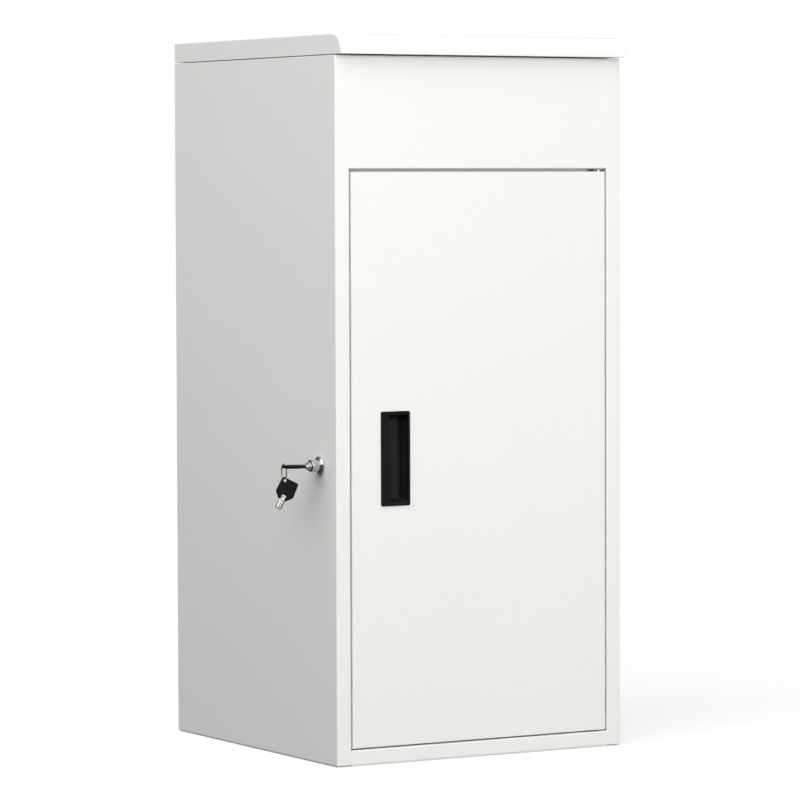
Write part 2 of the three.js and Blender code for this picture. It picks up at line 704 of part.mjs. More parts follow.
// Plate fixed inside the end of the door pan, with the pivot pin standing out of it.
function doorPivot(plateLow, pinEnd) {
  const { inner, outer, front, back, thickness } = DOOR_PLATE;
  const plate = box([inner, front, plateLow], [outer, back, plateLow + thickness]);
  const middle = plateLow + thickness / 2;
  const pin = rod(Math.min(middle, pinEnd), Math.max(middle, pinEnd), DOOR_PIVOT.radius);
  return join(plate, turnedZ(pin, DOOR_PIVOT.x, DOOR_PIVOT.y));
}

// Flanged bush for a door pivot: its tube runs from `near`, the flange's face that the sheet bears on.
function doorBush(far, near, tubeEnd) {
  const { flange, tube } = DOOR_BUSH;
  const bore = DOOR_PIVOT.radius + FIT;
  const profile = [
    [far, bore],
    [far, flange],
    [near, flange],
    [near, tube],
    [tubeEnd, tube],
    [tubeEnd, bore],
    [far, bore],
  ];
  return turnedZ(tubeEnd > near ? profile : profile.reverse(), DOOR_PIVOT.x, DOOR_PIVOT.y);
}

function doorBuffer(z, radius) {
  return turnedY(rod(DOOR_BACK + FIT, FRONT + STOP_DEPTH - FIT, radius), BUFFER.x, z, 12);
}

// Catch: an angle on the door's rear return, whose flange the cam holds from the front.
function doorCatch() {
  const { outer, inner, reach, tip, low, high, sheet } = CATCH;
  const base = DOOR_BACK + FIT;
  const flange = LOCK.y + reach;
  const section = [[outer, base], [inner, base], [inner, flange], [tip, flange]];
  return extrudeZ(foldedSheet(section, 1, sheet), LOCK.z + low, LOCK.z + high);
}

// ---------------------------------------------------------------- lock, drawn about its own axis

function lockHousing() {
  const { head, end, flange, rim } = HOUSING;
  const { bore, barrel } = LOCK;
  const profile = [
    [head, bore],
    [head, barrel],
    [WALL_FACE - flange, barrel],
    [WALL_FACE - flange, rim],
    [WALL_FACE - FIT, rim],
    [WALL_FACE - FIT, barrel],
    [end, barrel],
    [end, bore],
    [head, bore],
  ];
  return turnedX(profile, 0, 0, LOCK.segments);
}

function lockEscutcheon() {
  const { face, edge, land, inner, faceRadius, radius } = COLLAR;
  const bore = LOCK.barrel + FIT;
  const profile = [
    [WALL_FACE - face, bore],
    [WALL_FACE - face, faceRadius],
    [WALL_FACE - edge, radius],
    [WALL_FACE - FIT, radius],
    [WALL_FACE - FIT, inner],
    [WALL_FACE - land, inner],
    [WALL_FACE - land, bore],
    [WALL_FACE - face, bore],
  ];
  return turnedX(profile, 0, 0, LOCK.segments);
}

function lockNut() {
  const face = WALL_FACE + SHEET + FIT;
  const end = face + NUT.thickness;
  const bore = turnedX(rod(face - PAST, end + PAST, LOCK.barrel + FIT), 0, 0, LOCK.segments);
  return cut(extrudeX(hexagon(NUT.acrossFlats), face, end), bore);
}

// Plug: a ring-shaped keyway in its nose, and a square tail, bored for the cam's screw.
function lockPlug() {
  const { nose, end, tail, halfSquare } = PLUG;
  const keyway = KEY_TIP + FIT;
  const profile = [
    [nose, 0],
    [nose, KEY.hollow - FIT],
    [keyway, KEY.hollow - FIT],
    [keyway, KEY.tube + FIT],
    [nose, KEY.tube + FIT],
    [nose, LOCK.plug],
    [end, LOCK.plug],
    [end, 0],
  ];
  const square = box([end - 1, -halfSquare, -halfSquare], [tail, halfSquare, halfSquare]);
  const screwBore = turnedX(rod(SCREW.start - 1, tail + PAST, SCREW.shank + FIT), 0, 0);
  return cut(join(turnedX(profile, 0, 0, 24), square), screwBore);
}

function lockCam() {
  const { reach, eye, tip, thickness } = CAM;
  const start = PLUG.end + FIT;
  const end = start + thickness;
  const half = PLUG.halfSquare + FIT;
  const arm = extrudeX(strap([0, 0], [-reach, 0], eye, tip), start, end, 6);
  return cut(arm, box([start - 1, -half, -half], [end + 1, half, half]));
}

function camScrew() {
  const { start, shank, head, headLength } = SCREW;
  const under = PLUG.tail + FIT;
  const end = under + headLength;
  const profile = [[start, 0], [start, shank], [under, shank], [under, head], [end, head], [end, 0]];
  return turnedX(profile, 0, 0);
}

// Key, drawn from its tip along X, with the bow in the XY plane.
function keyShaft() {
  const { tube, hollow, bore, tubeEnd } = KEY;
  const { end, halfWidth, halfThickness } = TONGUE;
  const profile = [[bore, 0], [bore, hollow], [0, hollow], [0, tube], [tubeEnd, tube], [tubeEnd, 0]];
  const tongue = box([tubeEnd - 1, -halfWidth, -halfThickness], [end, halfWidth, halfThickness]);
  return join(turned(profile, 20).rotateZ(-Math.PI / 2), tongue);
}

function keyBow() {
  const { start, neck, shoulder, widest, end, endHalf, thickness } = BOW;
  const half = [[start, neck], [shoulder, widest], [end, endHalf]];
  const points = [...half, ...half.map(([s, w]) => [s, -w]).reverse()];
  const shape = outline(points, [...BOW_ROUNDS, ...[...BOW_ROUNDS].reverse()]);
  const { s, low, high, halfWidth, round } = KEY_SLOT;
  shape.holes.push(rectangle([s - halfWidth, low], [s + halfWidth, high], round));
  const plate = extruded(shape, thickness, 2).translate(0, 0, -thickness / 2);
  const tubeEnd = KEY.tubeEnd + FIT;
  const notchHalf = KEY.tube + FIT;
  const tubeNotch = box([start - 1, -notchHalf, -PAST], [tubeEnd, notchHalf, PAST]);
  const pocketHalf = [TONGUE.halfWidth + FIT, TONGUE.halfThickness + FIT];
  const tonguePocket = box(
    [KEY.tubeEnd - 1, -pocketHalf[0], -pocketHalf[1]],
    [TONGUE.end + FIT, ...pocketHalf],
  );
  return cut(plate, tubeNotch, tonguePocket);
}

// ---------------------------------------------------------------- assembly

const assembly = new THREE.Group();

function piece(name, geometry, material, parent = assembly) {
  const mesh = new THREE.Mesh(geometry, material);
  mesh.name = name;
  parent.add(mesh);
  return mesh;
}

function group(parent = assembly) {
  const child = new THREE.Group();
  parent.add(child);
  return child;
}

const SIDES = [['left', -1], ['right', 1]];

function addCabinet() {
  const cabinet = group();
  piece('left_side_panel', leftSidePanel(), powderWhite, cabinet);
  piece('right_side_panel', sidePanel(1), powderWhite, cabinet);
  piece('back_panel', backPanel(), powderWhite, cabinet);
  piece('base_pan', basePan(), powderWhite, cabinet);
  piece('sill_rail', sillRail(), powderWhite, cabinet);
  piece('upper_front_panel', upperFrontPanel(), powderWhite, cabinet);
  piece('lid_hinge_body_leaf', bodyLeaf(), powderWhite, cabinet);
  const pinHalf = HINGE_HALF_LENGTH + 1;
  const hingePin = turnedX(rod(-pinHalf, pinHalf, HINGE.pin), HINGE.y, HINGE.z, 12);
  piece('lid_hinge_pin', hingePin, zincSteel, cabinet);
  for (const [name, side] of SIDES) {
    piece(`rim_angle_${name}`, rimAngle(side), powderWhite, cabinet);
    for (const [place, y] of [['front', -BUMPER.y], ['rear', BUMPER.y]]) {
      const height = rod(RIM_TOP + FIT, LID_BOTTOM - FIT, BUMPER.radius);
      const bumper = turnedZ(height, side * BUMPER.x, y);
      piece(`lid_bumper_${place}_${name}`, bumper, rubber, cabinet);
    }
    piece(`tray_bracket_${name}`, trayBracket(side), zincSteel, cabinet);
    piece(`tray_bush_${name}`, trayBush(side), greyNylon, cabinet);
  }
  const upperBush = doorBush(DOOR_BUSH.upperFace, UPPER_PANEL_BOTTOM - FIT, DOOR_BUSH.upperEnd);
  const lowerBush = doorBush(DOOR_BOTTOM - FIT, SILL_TOP + FIT, DOOR_BUSH.lowerEnd);
  piece('door_bush_upper', upperBush, greyNylon, cabinet);
  piece('door_bush_lower', lowerBush, greyNylon, cabinet);
  piece('door_buffer_upper', doorBuffer(BUFFER.upper, BUFFER.upperRadius), rubber, cabinet);
  piece('door_buffer_lower', doorBuffer(BUFFER.lower, BUFFER.lowerRadius), rubber, cabinet);
}

function addLid() {
  const lid = group();
  piece('lid_shell', lidShell(), powderWhite, lid);
  piece('lid_stiffener_front', lidStiffener(STIFFENER.frontY), powderWhite, lid);
  piece('lid_stiffener_rear', lidStiffener(STIFFENER.rearY), powderWhite, lid);
  piece('lid_hinge_lid_leaf', lidLeaf(), powderWhite, lid);
  for (const [name, side] of SIDES) {
    piece(`lid_crank_${name}`, lidCrank(side), zincSteel, lid);
    piece(`lid_crank_pin_${name}`, linkPin(side, LID_PIN.y, LID_PIN.z), zincSteel, lid);
    piece(`link_${name}`, link(side), zincSteel);
  }
}

// The tray hangs tilted by the lid's whole travel while the lid is shut.
function addTray() {
  const tray = group();
  tray.position.set(0, TRAY_PIVOT.y, TRAY_PIVOT.z);
  tray.rotation.x = LID_TRAVEL;
  piece('tray_panel', trayPanel(), powderWhite, tray);
  piece('tray_rod', trayRod(), zincSteel, tray);
  const pin = trayPin();
  for (const [name, side] of SIDES) {
    piece(`tray_crank_${name}`, trayCrank(side), zincSteel, tray);
    piece(`tray_crank_pin_${name}`, linkPin(side, pin.y, pin.z), zincSteel, tray);
  }
}

function addDoor() {
  const door = group();
  piece('door_skin', doorSkin(), powderWhite, door);
  piece('door_stiffener', doorStiffener(), powderWhite, door);
  piece('handle_cup', handleCup(), blackPlastic, door);
  const upperPlate = DOOR_TOP - SHEET - FIT - DOOR_PLATE.thickness;
  const upperPivot = doorPivot(upperPlate, DOOR_BUSH.upperEnd + 1);
  const lowerPivot = doorPivot(DOOR_BOTTOM + SHEET + FIT, DOOR_BUSH.lowerEnd - 1);
  piece('door_pivot_upper', upperPivot, zincSteel, door);
  piece('door_pivot_lower', lowerPivot, zincSteel, door);
  piece('door_catch', doorCatch(), zincSteel, door);
}

function addLock() {
  const lock = group();
  lock.position.set(0, LOCK.y, LOCK.z);
  piece('lock_housing', lockHousing(), chrome, lock);
  piece('lock_escutcheon', lockEscutcheon(), chrome, lock);
  piece('lock_nut', lockNut(), zincSteel, lock);
  piece('lock_plug', lockPlug(), chrome, lock);
  piece('lock_cam', lockCam(), zincSteel, lock);
  piece('cam_screw', camScrew(), zincSteel, lock);
  const key = group(lock);
  key.position.x = KEY_TIP;
  key.rotation.y = Math.PI;
  piece('key_shaft', keyShaft(), nickel, key);
  piece('key_bow', keyBow(), blackPlastic, key);
}

// The split ring hangs on the strip outside the key's slot, and the spare key hangs on the bottom of
// the ring.
function addKeyRing() {
  const across = new THREE.Vector3(Math.sin(RING.turn), Math.cos(RING.turn), 0);
  const normal = new THREE.Vector3(Math.cos(RING.turn), -Math.sin(RING.turn), 0);
  const centre = new THREE.Vector3(KEY_TIP - KEY_SLOT.s, LOCK.y + WEB, LOCK.z - RING.drop);
  const ring = weld(new THREE.TorusGeometry(RING.radius, RING.wire, 8, 32));
  piece('key_ring', inFrame(ring, across, Z_AXIS, normal, centre.toArray()), nickel);

  const tilt = (a, b) => normal.clone().multiplyScalar(a).addScaledVector(Z_AXIS, b);
  const along = tilt(Math.sin(SPARE_TILT), Math.cos(SPARE_TILT));
  const width = tilt(-Math.cos(SPARE_TILT), Math.sin(SPARE_TILT));
  const tip = centre.clone();
  tip.z -= RING.radius;
  tip.addScaledVector(along, -SPARE_HELD_AT.s).addScaledVector(width, -SPARE_HELD_AT.w);
  const spare = group();
  spare.position.copy(tip);
  const turn = new THREE.Matrix4().makeBasis(along, width, along.clone().cross(width));
  spare.quaternion.setFromRotationMatrix(turn);
  piece('spare_key_shaft', keyShaft(), nickel, spare);
  piece('spare_key_bow', keyBow(), blackPlastic, spare);
}

addCabinet();
addLid();
addTray();
addDoor();
addLock();
addKeyRing();

export default assembly;
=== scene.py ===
"""Looks of the parcel drop box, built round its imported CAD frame.

X points right, Y to the back and Z up. Blender works in metres. Sizes here are in mm, which MM turns
into metres, unless a comment says otherwise.
"""

import json
import math

import bmesh
import bpy
from mathutils import Matrix, Vector


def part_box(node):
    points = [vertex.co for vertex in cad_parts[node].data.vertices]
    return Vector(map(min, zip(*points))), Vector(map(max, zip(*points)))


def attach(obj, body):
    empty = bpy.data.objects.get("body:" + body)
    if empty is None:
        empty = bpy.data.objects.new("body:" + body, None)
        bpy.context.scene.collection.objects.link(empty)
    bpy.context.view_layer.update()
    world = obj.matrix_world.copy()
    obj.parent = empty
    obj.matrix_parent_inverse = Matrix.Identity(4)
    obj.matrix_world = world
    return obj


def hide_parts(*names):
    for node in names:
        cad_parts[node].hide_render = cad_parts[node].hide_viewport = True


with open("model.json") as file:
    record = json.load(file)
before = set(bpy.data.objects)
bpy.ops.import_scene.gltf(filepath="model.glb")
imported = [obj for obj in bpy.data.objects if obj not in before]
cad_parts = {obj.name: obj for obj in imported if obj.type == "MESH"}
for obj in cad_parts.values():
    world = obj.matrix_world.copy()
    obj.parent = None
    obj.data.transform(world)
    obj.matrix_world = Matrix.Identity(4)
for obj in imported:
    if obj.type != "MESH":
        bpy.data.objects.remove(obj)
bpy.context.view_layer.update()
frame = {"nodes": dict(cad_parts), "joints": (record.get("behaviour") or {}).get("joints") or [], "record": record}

MM = 0.001

RECORD = frame["record"]
SLOT_OF = {part["node"]: part["material_slot"] for part in RECORD["subparts"]}
JOINT = {joint["name"]: joint for joint in frame["joints"]}
SIDES = (("left", -1), ("right", 1))
UP = Vector((0, 0, 1))
BACKWARDS = (0, 1, 0)
X_TO_AXIS = (
    Matrix.Identity(4),
    Matrix.Rotation(math.pi / 2, 4, "Z"),
    Matrix.Rotation(-math.pi / 2, 4, "Y"),
)

# Edges, folds and rivets
CUT_EDGE = 0.25
SAME_CORNER = 1e-5  # metres
SAME_PLANE = math.radians(0.4)
SHARP = math.radians(40)
FOLD_ANGLE = math.radians(60)
LID_SIDE_FOLD = 1.3
SIDE_TOP_FOLD = 1.7
LID_SKIRT = 0.9735  # metres; the lid's side folds lie above this
RIVET_FOOT = 0.25  # straight part under a rivet's dome

# Seams between the stiles and the panels beside them, from the middle and from the front face
SEAM_PANEL = 207.2
SEAM_STILE = 207.5
SEAM_DEPTH = 3.0
SEAM_SUNK = 0.16
STILE_FOLD = 2.0

# Recessed pull
PULL_FLANGE = 1.8
LIP_SHIFT = 4.75

# Lock
WALL_GAP = 0.3
BARREL = 8.5
BARREL_FLANGE = 10.6
BARREL_BORE = 6.35
COLLAR = 13.0
COLLAR_BORE = 8.85
PLUG = 6.0

# Keys, from the tip along s and across w
TUBE_RADIUS = 4.75
TUBE_BORE = 3.35
BORE_DEPTH = 9.0
TUBE_END = 19.7
FLAT_HALF = 2.75
FLAT_START = 8.6
FLAT_RUN = 5.6
TUBE_STATIONS = (
    0.0, 0.12, 0.35, 0.6, 0.9, 1.2, 1.5, 1.8, 2.2, 2.4, 3.6, 5.2, 6.8, 8.2, 9.0, 9.8, 10.6, 11.4,
    12.2, 13.0, 13.8, 14.6, 16.0, 17.5, 18.6, 19.2, 19.5, TUBE_END,
)
NOTCH_HALF_ANGLE = 0.2
NOTCH_DEPTH = 0.6
BITTING = (1.5, 0.7, 2.2, 1.1, 1.8, 0.6, 1.3)
BOW_HALF = ((13.0, 5.8), (21.0, 13.4), (42.2, 12.2))
BOW_ROUND = (1.5, 3.0, 2.8)
KEY_SLOT = (35.4, 40.6, 1.5, 10.5)
SPARE_SLOT = (36.6, 40.6, 4.8, 10.5)
SPARE_TILT = math.radians(26)
SPARE_HELD_AT = (39.5, 9.4)

# Split ring
RING_RADIUS = 10.3
RING_TURNS = 1.93
RING_START = math.radians(60)
WIRE_HALF_WIDTH = 0.7
WIRE_HALF_THICKNESS = 0.42

# Studio, in metres
FLOOR_HALF = 40
FLOOR_DROP = 0.0004  # the floor lies just below the feet, so that no two faces share a plane
FADE_START = 0.5
FADE_END = 1.6
WHITE = (1, 1, 1)
FLOOR_GREY = (0.5, 0.5, 0.5)
FLOOR_BOUNCE = (0.08, 0.08, 0.08)
FLOOR_LIFT = 0.62
WORLD_LOW = (0.24, 0.24, 0.238)
WORLD_HIGH = (0.40, 0.40, 0.405)
WORLD_DARK = (0.20, 0.20, 0.20)
WORLD_BRIGHT = (0.62, 0.62, 0.62)

# Camera: the lens and sensor in mm, the place in metres and the angles in degrees
LENS = 194.28
SENSOR = 36
CAMERA_PLACE = (-3.0957, -5.3521, 0.7934)
CAMERA_HEADING = -30.114
CAMERA_DIP = 2.840
CAMERA_ROLL = -0.186


# ---------------------------------------------------------------- material nodes

def new_graph(name):
    material = bpy.data.materials.new(name)
    material.use_nodes = True
    material.node_tree.nodes.clear()
    return material, material.node_tree


def feed(tree, socket, value):
    """Links another node's socket, or sets a plain number, vector or colour."""
    if isinstance(value, bpy.types.NodeSocket):
        tree.links.new(value, socket)
    elif socket.type == "RGBA":
        socket.default_value = (*value, 1)
    else:
        socket.default_value = value


def add_node(tree, kind, settings=None, **inputs):
    """A shader node. Each input is a value or a socket to link, named with _ for a space."""
    made = tree.nodes.new("ShaderNode" + kind)
    for key, value in (settings or {}).items():
        setattr(made, key, value)
    for key, value in inputs.items():
        feed(tree, made.inputs[key.replace("_", " ")], value)
    return made


def mixed(tree, factor, first, second):
    """A colour between two colours."""
    made = add_node(tree, "Mix", {"data_type": "RGBA"})
    for place, value in ((0, factor), (6, first), (7, second)):
        feed(tree, made.inputs[place], value)
    return made.outputs[2]


def mixed_shaders(tree, factor, first, second):
    """A shader between two shaders."""
    made = add_node(tree, "MixShader")
    for socket, source in zip(made.inputs, (factor, first, second)):
        tree.links.new(source, socket)
    return made.outputs[0]


def ranged(tree, value, low, high, to_low, to_high, smooth=False):
    kind = "SMOOTHSTEP" if smooth else "LINEAR"
    made = add_node(tree, "MapRange", {"interpolation_type": kind}, Value=value)
    for key, number in (("From Min", low), ("From Max", high), ("To Min", to_low), ("To Max", to_high)):
        made.inputs[key].default_value = number
    return made.outputs[0]


def calc(tree, operation, first, second=0.0):
    made = add_node(tree, "Math", {"operation": operation})
    for socket, value in zip(made.inputs, (first, second)):
        feed(tree, socket, value)
    return made.outputs[0]


def noise(tree, coords, scale, detail=2.0, rough=0.5, distort=0.0):
    made = add_node(tree, "TexNoise", Vector=coords, Scale=scale, Detail=detail, Roughness=rough)
    made.inputs["Distortion"].default_value = distort
    return made.outputs["Fac"]


def stretched(tree, coords, scale):
    return add_node(tree, "Mapping", Vector=coords, Scale=scale).outputs[0]


def bumped(tree, height, distance, strength, normal=None):
    made = add_node(tree, "Bump", Height=height, Distance=distance, Strength=strength)
    if normal is not None:
        tree.links.new(normal, made.inputs["Normal"])
    return made.outputs[0]


def edge_mask(tree, radius):
    """1 on edges sharper than the radius, 0 on flats."""
    rounded_normal = add_node(tree, "Bevel", {"samples": 4}, Radius=radius).outputs[0]
    flat_normal = add_node(tree, "NewGeometry").outputs["Normal"]
    dot = add_node(tree, "VectorMath", {"operation": "DOT_PRODUCT"})
    tree.links.new(rounded_normal, dot.inputs[0])
    tree.links.new(flat_normal, dot.inputs[1])
    return ranged(tree, dot.outputs["Value"], 0.995, 0.90, 0.0, 1.0)


def finish_graph(tree, **inputs):
    shader = add_node(tree, "BsdfPrincipled", **inputs)
    output = tree.nodes.new("ShaderNodeOutputMaterial")
    tree.links.new(shader.outputs[0], output.inputs["Surface"])
    return shader


def powder_coat():
    """Fine satin powder coat: slight orange peel, faint mottling and specks, paler on edges, partly from thinner
    coat and partly as a painted highlight.
    """
    material, tree = new_graph("powder_coat_white")
    coords = add_node(tree, "TexCoord").outputs["Object"]
    broad = noise(tree, coords, 2.6, 3.0)
    mottle = noise(tree, coords, 55.0, 4.0, 0.6)
    specks = noise(tree, coords, 1500.0, 2.0)
    drift = ranged(tree, broad, 0.35, 0.65, 0.0, 1.0)
    base = mixed(tree, drift, (0.872, 0.868, 0.846), (0.886, 0.884, 0.866))
    base = mixed(tree, ranged(tree, mottle, 0.3, 0.7, 0.0, 0.35), base, (0.858, 0.852, 0.828))
    base = mixed(tree, ranged(tree, specks, 0.62, 0.78, 0.0, 0.25), base, (0.80, 0.79, 0.765))
    # Paler edges: partly thinner coat, partly a painted highlight along every edge.
    edges = edge_mask(tree, 0.0009)
    base = mixed(tree, calc(tree, "MULTIPLY", edges, 0.35), base, (0.90, 0.90, 0.89))
    peel = bumped(tree, noise(tree, coords, 420.0, 1.0), 0.00025, 0.05)
    grain = bumped(tree, noise(tree, coords, 2400.0, 2.0), 0.00006, 0.08, peel)
    rough = ranged(tree, mottle, 0.3, 0.7, 0.40, 0.50)
    finish_graph(tree, Base_Color=base, Roughness=rough, Normal=grain)
    return material


def zinc_plate():
    """Bright zinc on steel: fine spangle, rolling lines and a faint yellow and blue cast."""
    material, tree = new_graph("zinc_plated_steel")
    coords = add_node(tree, "TexCoord").outputs["Object"]
    cells = add_node(tree, "TexVoronoi", Vector=coords, Scale=420.0).outputs["Color"]
    spangle = add_node(tree, "SeparateColor", Color=cells).outputs[0]
    cast = noise(tree, coords, 38.0, 3.0, 0.6, 0.8)
    lines = noise(tree, stretched(tree, coords, (60.0, 1100.0, 1100.0)), 1.0, 3.0)
    tint = ranged(tree, cast, 0.35, 0.65, 0.0, 1.0)
    base = mixed(tree, tint, (0.60, 0.63, 0.665), (0.665, 0.655, 0.60))
    base = mixed(tree, calc(tree, "MULTIPLY", spangle, 0.22), base, (0.74, 0.75, 0.76))
    edges = edge_mask(tree, 0.0006)
    base = mixed(tree, calc(tree, "MULTIPLY", edges, 0.5), base, (0.78, 0.78, 0.77))
    cell_rough = ranged(tree, spangle, 0, 1, 0.26, 0.36)
    rough = calc(tree, "ADD", cell_rough, ranged(tree, lines, 0.3, 0.7, 0.0, 0.08))
    normal = bumped(tree, lines, 0.00005, 0.25)
    finish_graph(tree, Base_Color=base, Roughness=rough, Normal=normal, Metallic=1.0)
    return material


def plated(name, tone, dull, scuffed, rough_low, rough_high):
    """Polished plating with hairline scratches and duller handling marks."""
    material, tree = new_graph(name)
    coords = add_node(tree, "TexCoord").outputs["Object"]
    marks = noise(tree, coords, 260.0, 4.0, 0.65, 0.6)
    hairs = noise(tree, stretched(tree, coords, (300.0, 5200.0, 5200.0)), 1.0, 2.0)
    base = mixed(tree, ranged(tree, marks, 0.42, 0.68, 0.0, 0.8), tone, dull)
    edges = edge_mask(tree, 0.0004)
    base = mixed(tree, calc(tree, "MULTIPLY", edges, 0.6), base, scuffed)
    rough = ranged(tree, marks, 0.35, 0.7, rough_low, rough_high)
    normal = bumped(tree, hairs, 0.00002, 0.2)
    finish_graph(tree, Base_Color=base, Roughness=rough, Normal=normal, Metallic=1.0)
    return material


def moulded(name, tone, worn, rough_low, rough_high, grain_scale, gloss):
    """Moulded plastic or rubber: spark-eroded grain, slow colour drift and rubbed edges."""
    material, tree = new_graph(name)
    coords = add_node(tree, "TexCoord").outputs["Object"]
    drift = noise(tree, coords, 45.0, 3.0)
    grain = noise(tree, coords, grain_scale, 3.0, 0.6)
    base = mixed(tree, ranged(tree, drift, 0.35, 0.7, 0.0, 0.45), tone, worn)
    edges = edge_mask(tree, 0.0006)
    base = mixed(tree, calc(tree, "MULTIPLY", edges, 0.3), base, worn)
    rough = ranged(tree, drift, 0.3, 0.7, rough_low, rough_high)
    normal = bumped(tree, grain, 0.00006, 0.35)
    shader = finish_graph(tree, Base_Color=base, Roughness=rough, Normal=normal)
    shader.inputs["Specular IOR Level"].default_value = gloss
    return material


MATERIALS = {
    "powder_white": powder_coat(),
    "zinc_steel": zinc_plate(),
    "chrome": plated(
        "chrome_plate", (0.60, 0.61, 0.62), (0.52, 0.53, 0.54), (0.72, 0.72, 0.72), 0.07, 0.15),
    "nickel": plated(
        "nickel_plate", (0.40, 0.40, 0.36), (0.34, 0.34, 0.31), (0.52, 0.52, 0.48), 0.30, 0.40),
    "black_plastic": moulded(
        "black_plastic", (0.0042, 0.0045, 0.0044), (0.0075, 0.0075, 0.0075), 0.42, 0.55, 1500.0, 0.08),
    "grey_nylon": moulded(
        "grey_nylon", (0.40, 0.41, 0.415), (0.47, 0.475, 0.47), 0.42, 0.55, 900.0, 0.4),
    "rubber": moulded(
        "black_rubber", (0.018, 0.018, 0.018), (0.035, 0.034, 0.033), 0.7, 0.9, 1200.0, 0.2),
}
# Textured black plastic for the inside of the pull: a coarser grain, and painted about three times lighter than
# the flange's plastic to lift the shade inside the cup.
RECESS_TEXTURED_AND_PAINTED_LIGHT = moulded(
    "black_plastic_textured_painted_light", (0.0135, 0.0142, 0.0148), (0.019, 0.0195, 0.020), 0.6, 0.75, 700.0, 0.12)


# ---------------------------------------------------------------- mesh helpers

def make_piece(name, bm, slot, body, place=None, stands_for=(), angle=38.0, weighted=True):
    """Turns a bmesh drawn in metres into a piece that rides on a body."""
    bmesh.ops.recalc_face_normals(bm, faces=bm.faces)
    mesh = bpy.data.meshes.new(name)
    bm.to_mesh(mesh)
    bm.free()
    mesh.shade_smooth()
    mesh.set_sharp_from_angle(angle=math.radians(angle))
    mesh.materials.append(MATERIALS[slot])
    piece = bpy.data.objects.new(name, mesh)
    bpy.context.scene.collection.objects.link(piece)
    if place is not None:
        piece.matrix_world = place
    if weighted:
        shade = piece.modifiers.new("flat_faces", "WEIGHTED_NORMAL")
        shade.keep_sharp = True
    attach(piece, body)
    if stands_for:
        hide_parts(*stands_for)
    return piece


def filleted(points, radii, steps=4, closed=True):
    """A polyline of 2D points with each corner rounded to its radius."""
    result = []
    count = len(points)
    for i, (point, radius) in enumerate(zip(points, radii)):
        here = Vector(point)
        if radius <= 0 or (not closed and i in (0, count - 1)):
            result.append(here)
            continue
        to_last = Vector(points[i - 1]) - here
        to_next = Vector(points[(i + 1) % count]) - here
        half_angle = to_last.angle(to_next) / 2
        reach = min(radius / math.tan(half_angle), 0.49 * to_last.length, 0.49 * to_next.length)
        real_radius = reach * math.tan(half_angle)
        inward = (to_last.normalized() + to_next.normalized()).normalized()
        centre = here + inward * (real_radius / math.sin(half_angle))
        start = here + to_last.normalized() * reach - centre
        end = here + to_next.normalized() * reach - centre
        sweep = start.angle_signed(end)
        for k in range(steps + 1):
            turn = Matrix.Rotation(-sweep * k / steps, 2)
            result.append(centre + turn @ start)
    return result


def ring_of(bm, points):
    return [bm.verts.new(p) for p in points]


def circle_angles(count):
    return [2 * math.pi * i / count for i in range(count)]


def circle_x(x, radius, segments):
    """The points of a circle about X, from sizes in mm."""
    reach = radius * MM
    return [(x * MM, reach * math.cos(a), reach * math.sin(a)) for a in circle_angles(segments)]


def bridge(bm, low, high):
    """The faces between two loops with as many points each."""
    count = len(low)
    made = []
    for i in range(count):
        j = (i + 1) % count
        made.append(bm.faces.new((low[i], low[j], high[j], high[i])))
    return made


def lathe(profile, segments):
    """A closed body turned about X from (x, radius) points in mm. A point of radius 0 is a pole."""
    bm = bmesh.new()
    rings = []
    for x, radius in profile:
        if radius == 0:
            rings.append([bm.verts.new((x * MM, 0, 0))])
            continue
        rings.append(ring_of(bm, circle_x(x, radius, segments)))
    pairs = list(zip(rings, rings[1:]))
    if len(rings[0]) > 1 and len(rings[-1]) > 1:
        pairs.append((rings[-1], rings[0]))
    for first, second in pairs:
        if len(first) == 1 and len(second) == 1:
            continue
        if len(first) == 1 or len(second) == 1:
            pole, loop = (first[0], second) if len(first) == 1 else (second[0], first)
            for i in range(segments):
                bm.faces.new((pole, loop[i], loop[(i + 1) % segments]))
        else:
            bridge(bm, first, second)
    return bm


def along_x(centre, flip=False):
    """Places a turned body with its own X on the row's X axis, or against it."""
    turn = Matrix.Rotation(math.pi, 4, "Y") if flip else Matrix.Identity(4)
    return Matrix.Translation(centre) @ turn


def centre_of(node):
    low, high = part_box(node)
    return (low + high) / 2


# ---------------------------------------------------------------- sheet metal carried over from the CAD

def soften_cut_edges(piece):
    """Small rounds on every sharp edge, with shading that stays flat on the faces."""
    edges = piece.modifiers.new("edges", "BEVEL")
    edges.width = CUT_EDGE * MM
    edges.segments = 2
    edges.limit_method = "ANGLE"
    edges.angle_limit = SHARP
    edges.use_clamp_overlap = False
    shade = piece.modifiers.new("shade", "WEIGHTED_NORMAL")
    shade.keep_sharp = False


def dress(node_name):
    """Keeps a CAD node and gives it rounded cut edges, clean shading and its material."""
    piece = frame["nodes"][node_name]
    mesh = piece.data
    mesh.materials.clear()
    mesh.materials.append(MATERIALS[SLOT_OF[node_name]])
    mesh.polygons.foreach_set("use_smooth", [True] * len(mesh.polygons))
    weld = piece.modifiers.new("weld", "WELD")
    weld.merge_threshold = SAME_CORNER
    flat = piece.modifiers.new("flat", "DECIMATE")
    flat.decimate_type = "DISSOLVE"
    flat.angle_limit = SAME_PLANE
    soften_cut_edges(piece)


# ---------------------------------------------------------------- recessed pull

def rounded_rectangle(cx, cz, half_width, half_height, radius, y):
    """A loop of points in the plane at y, in mm, going round from the lower left corner."""
    points = []
    steps = 5
    for k, (sx, sz) in enumerate(((-1, -1), (1, -1), (1, 1), (-1, 1))):
        centre = Vector((cx + sx * (half_width - radius), cz + sz * (half_height - radius)))
        for i in range(steps + 1):
            angle = math.radians(180 + 90 * k + 90 * i / steps)
            corner = centre + radius * Vector((math.cos(angle), math.sin(angle)))
            points.append((corner.x * MM, y * MM, corner.y * MM))
    return points


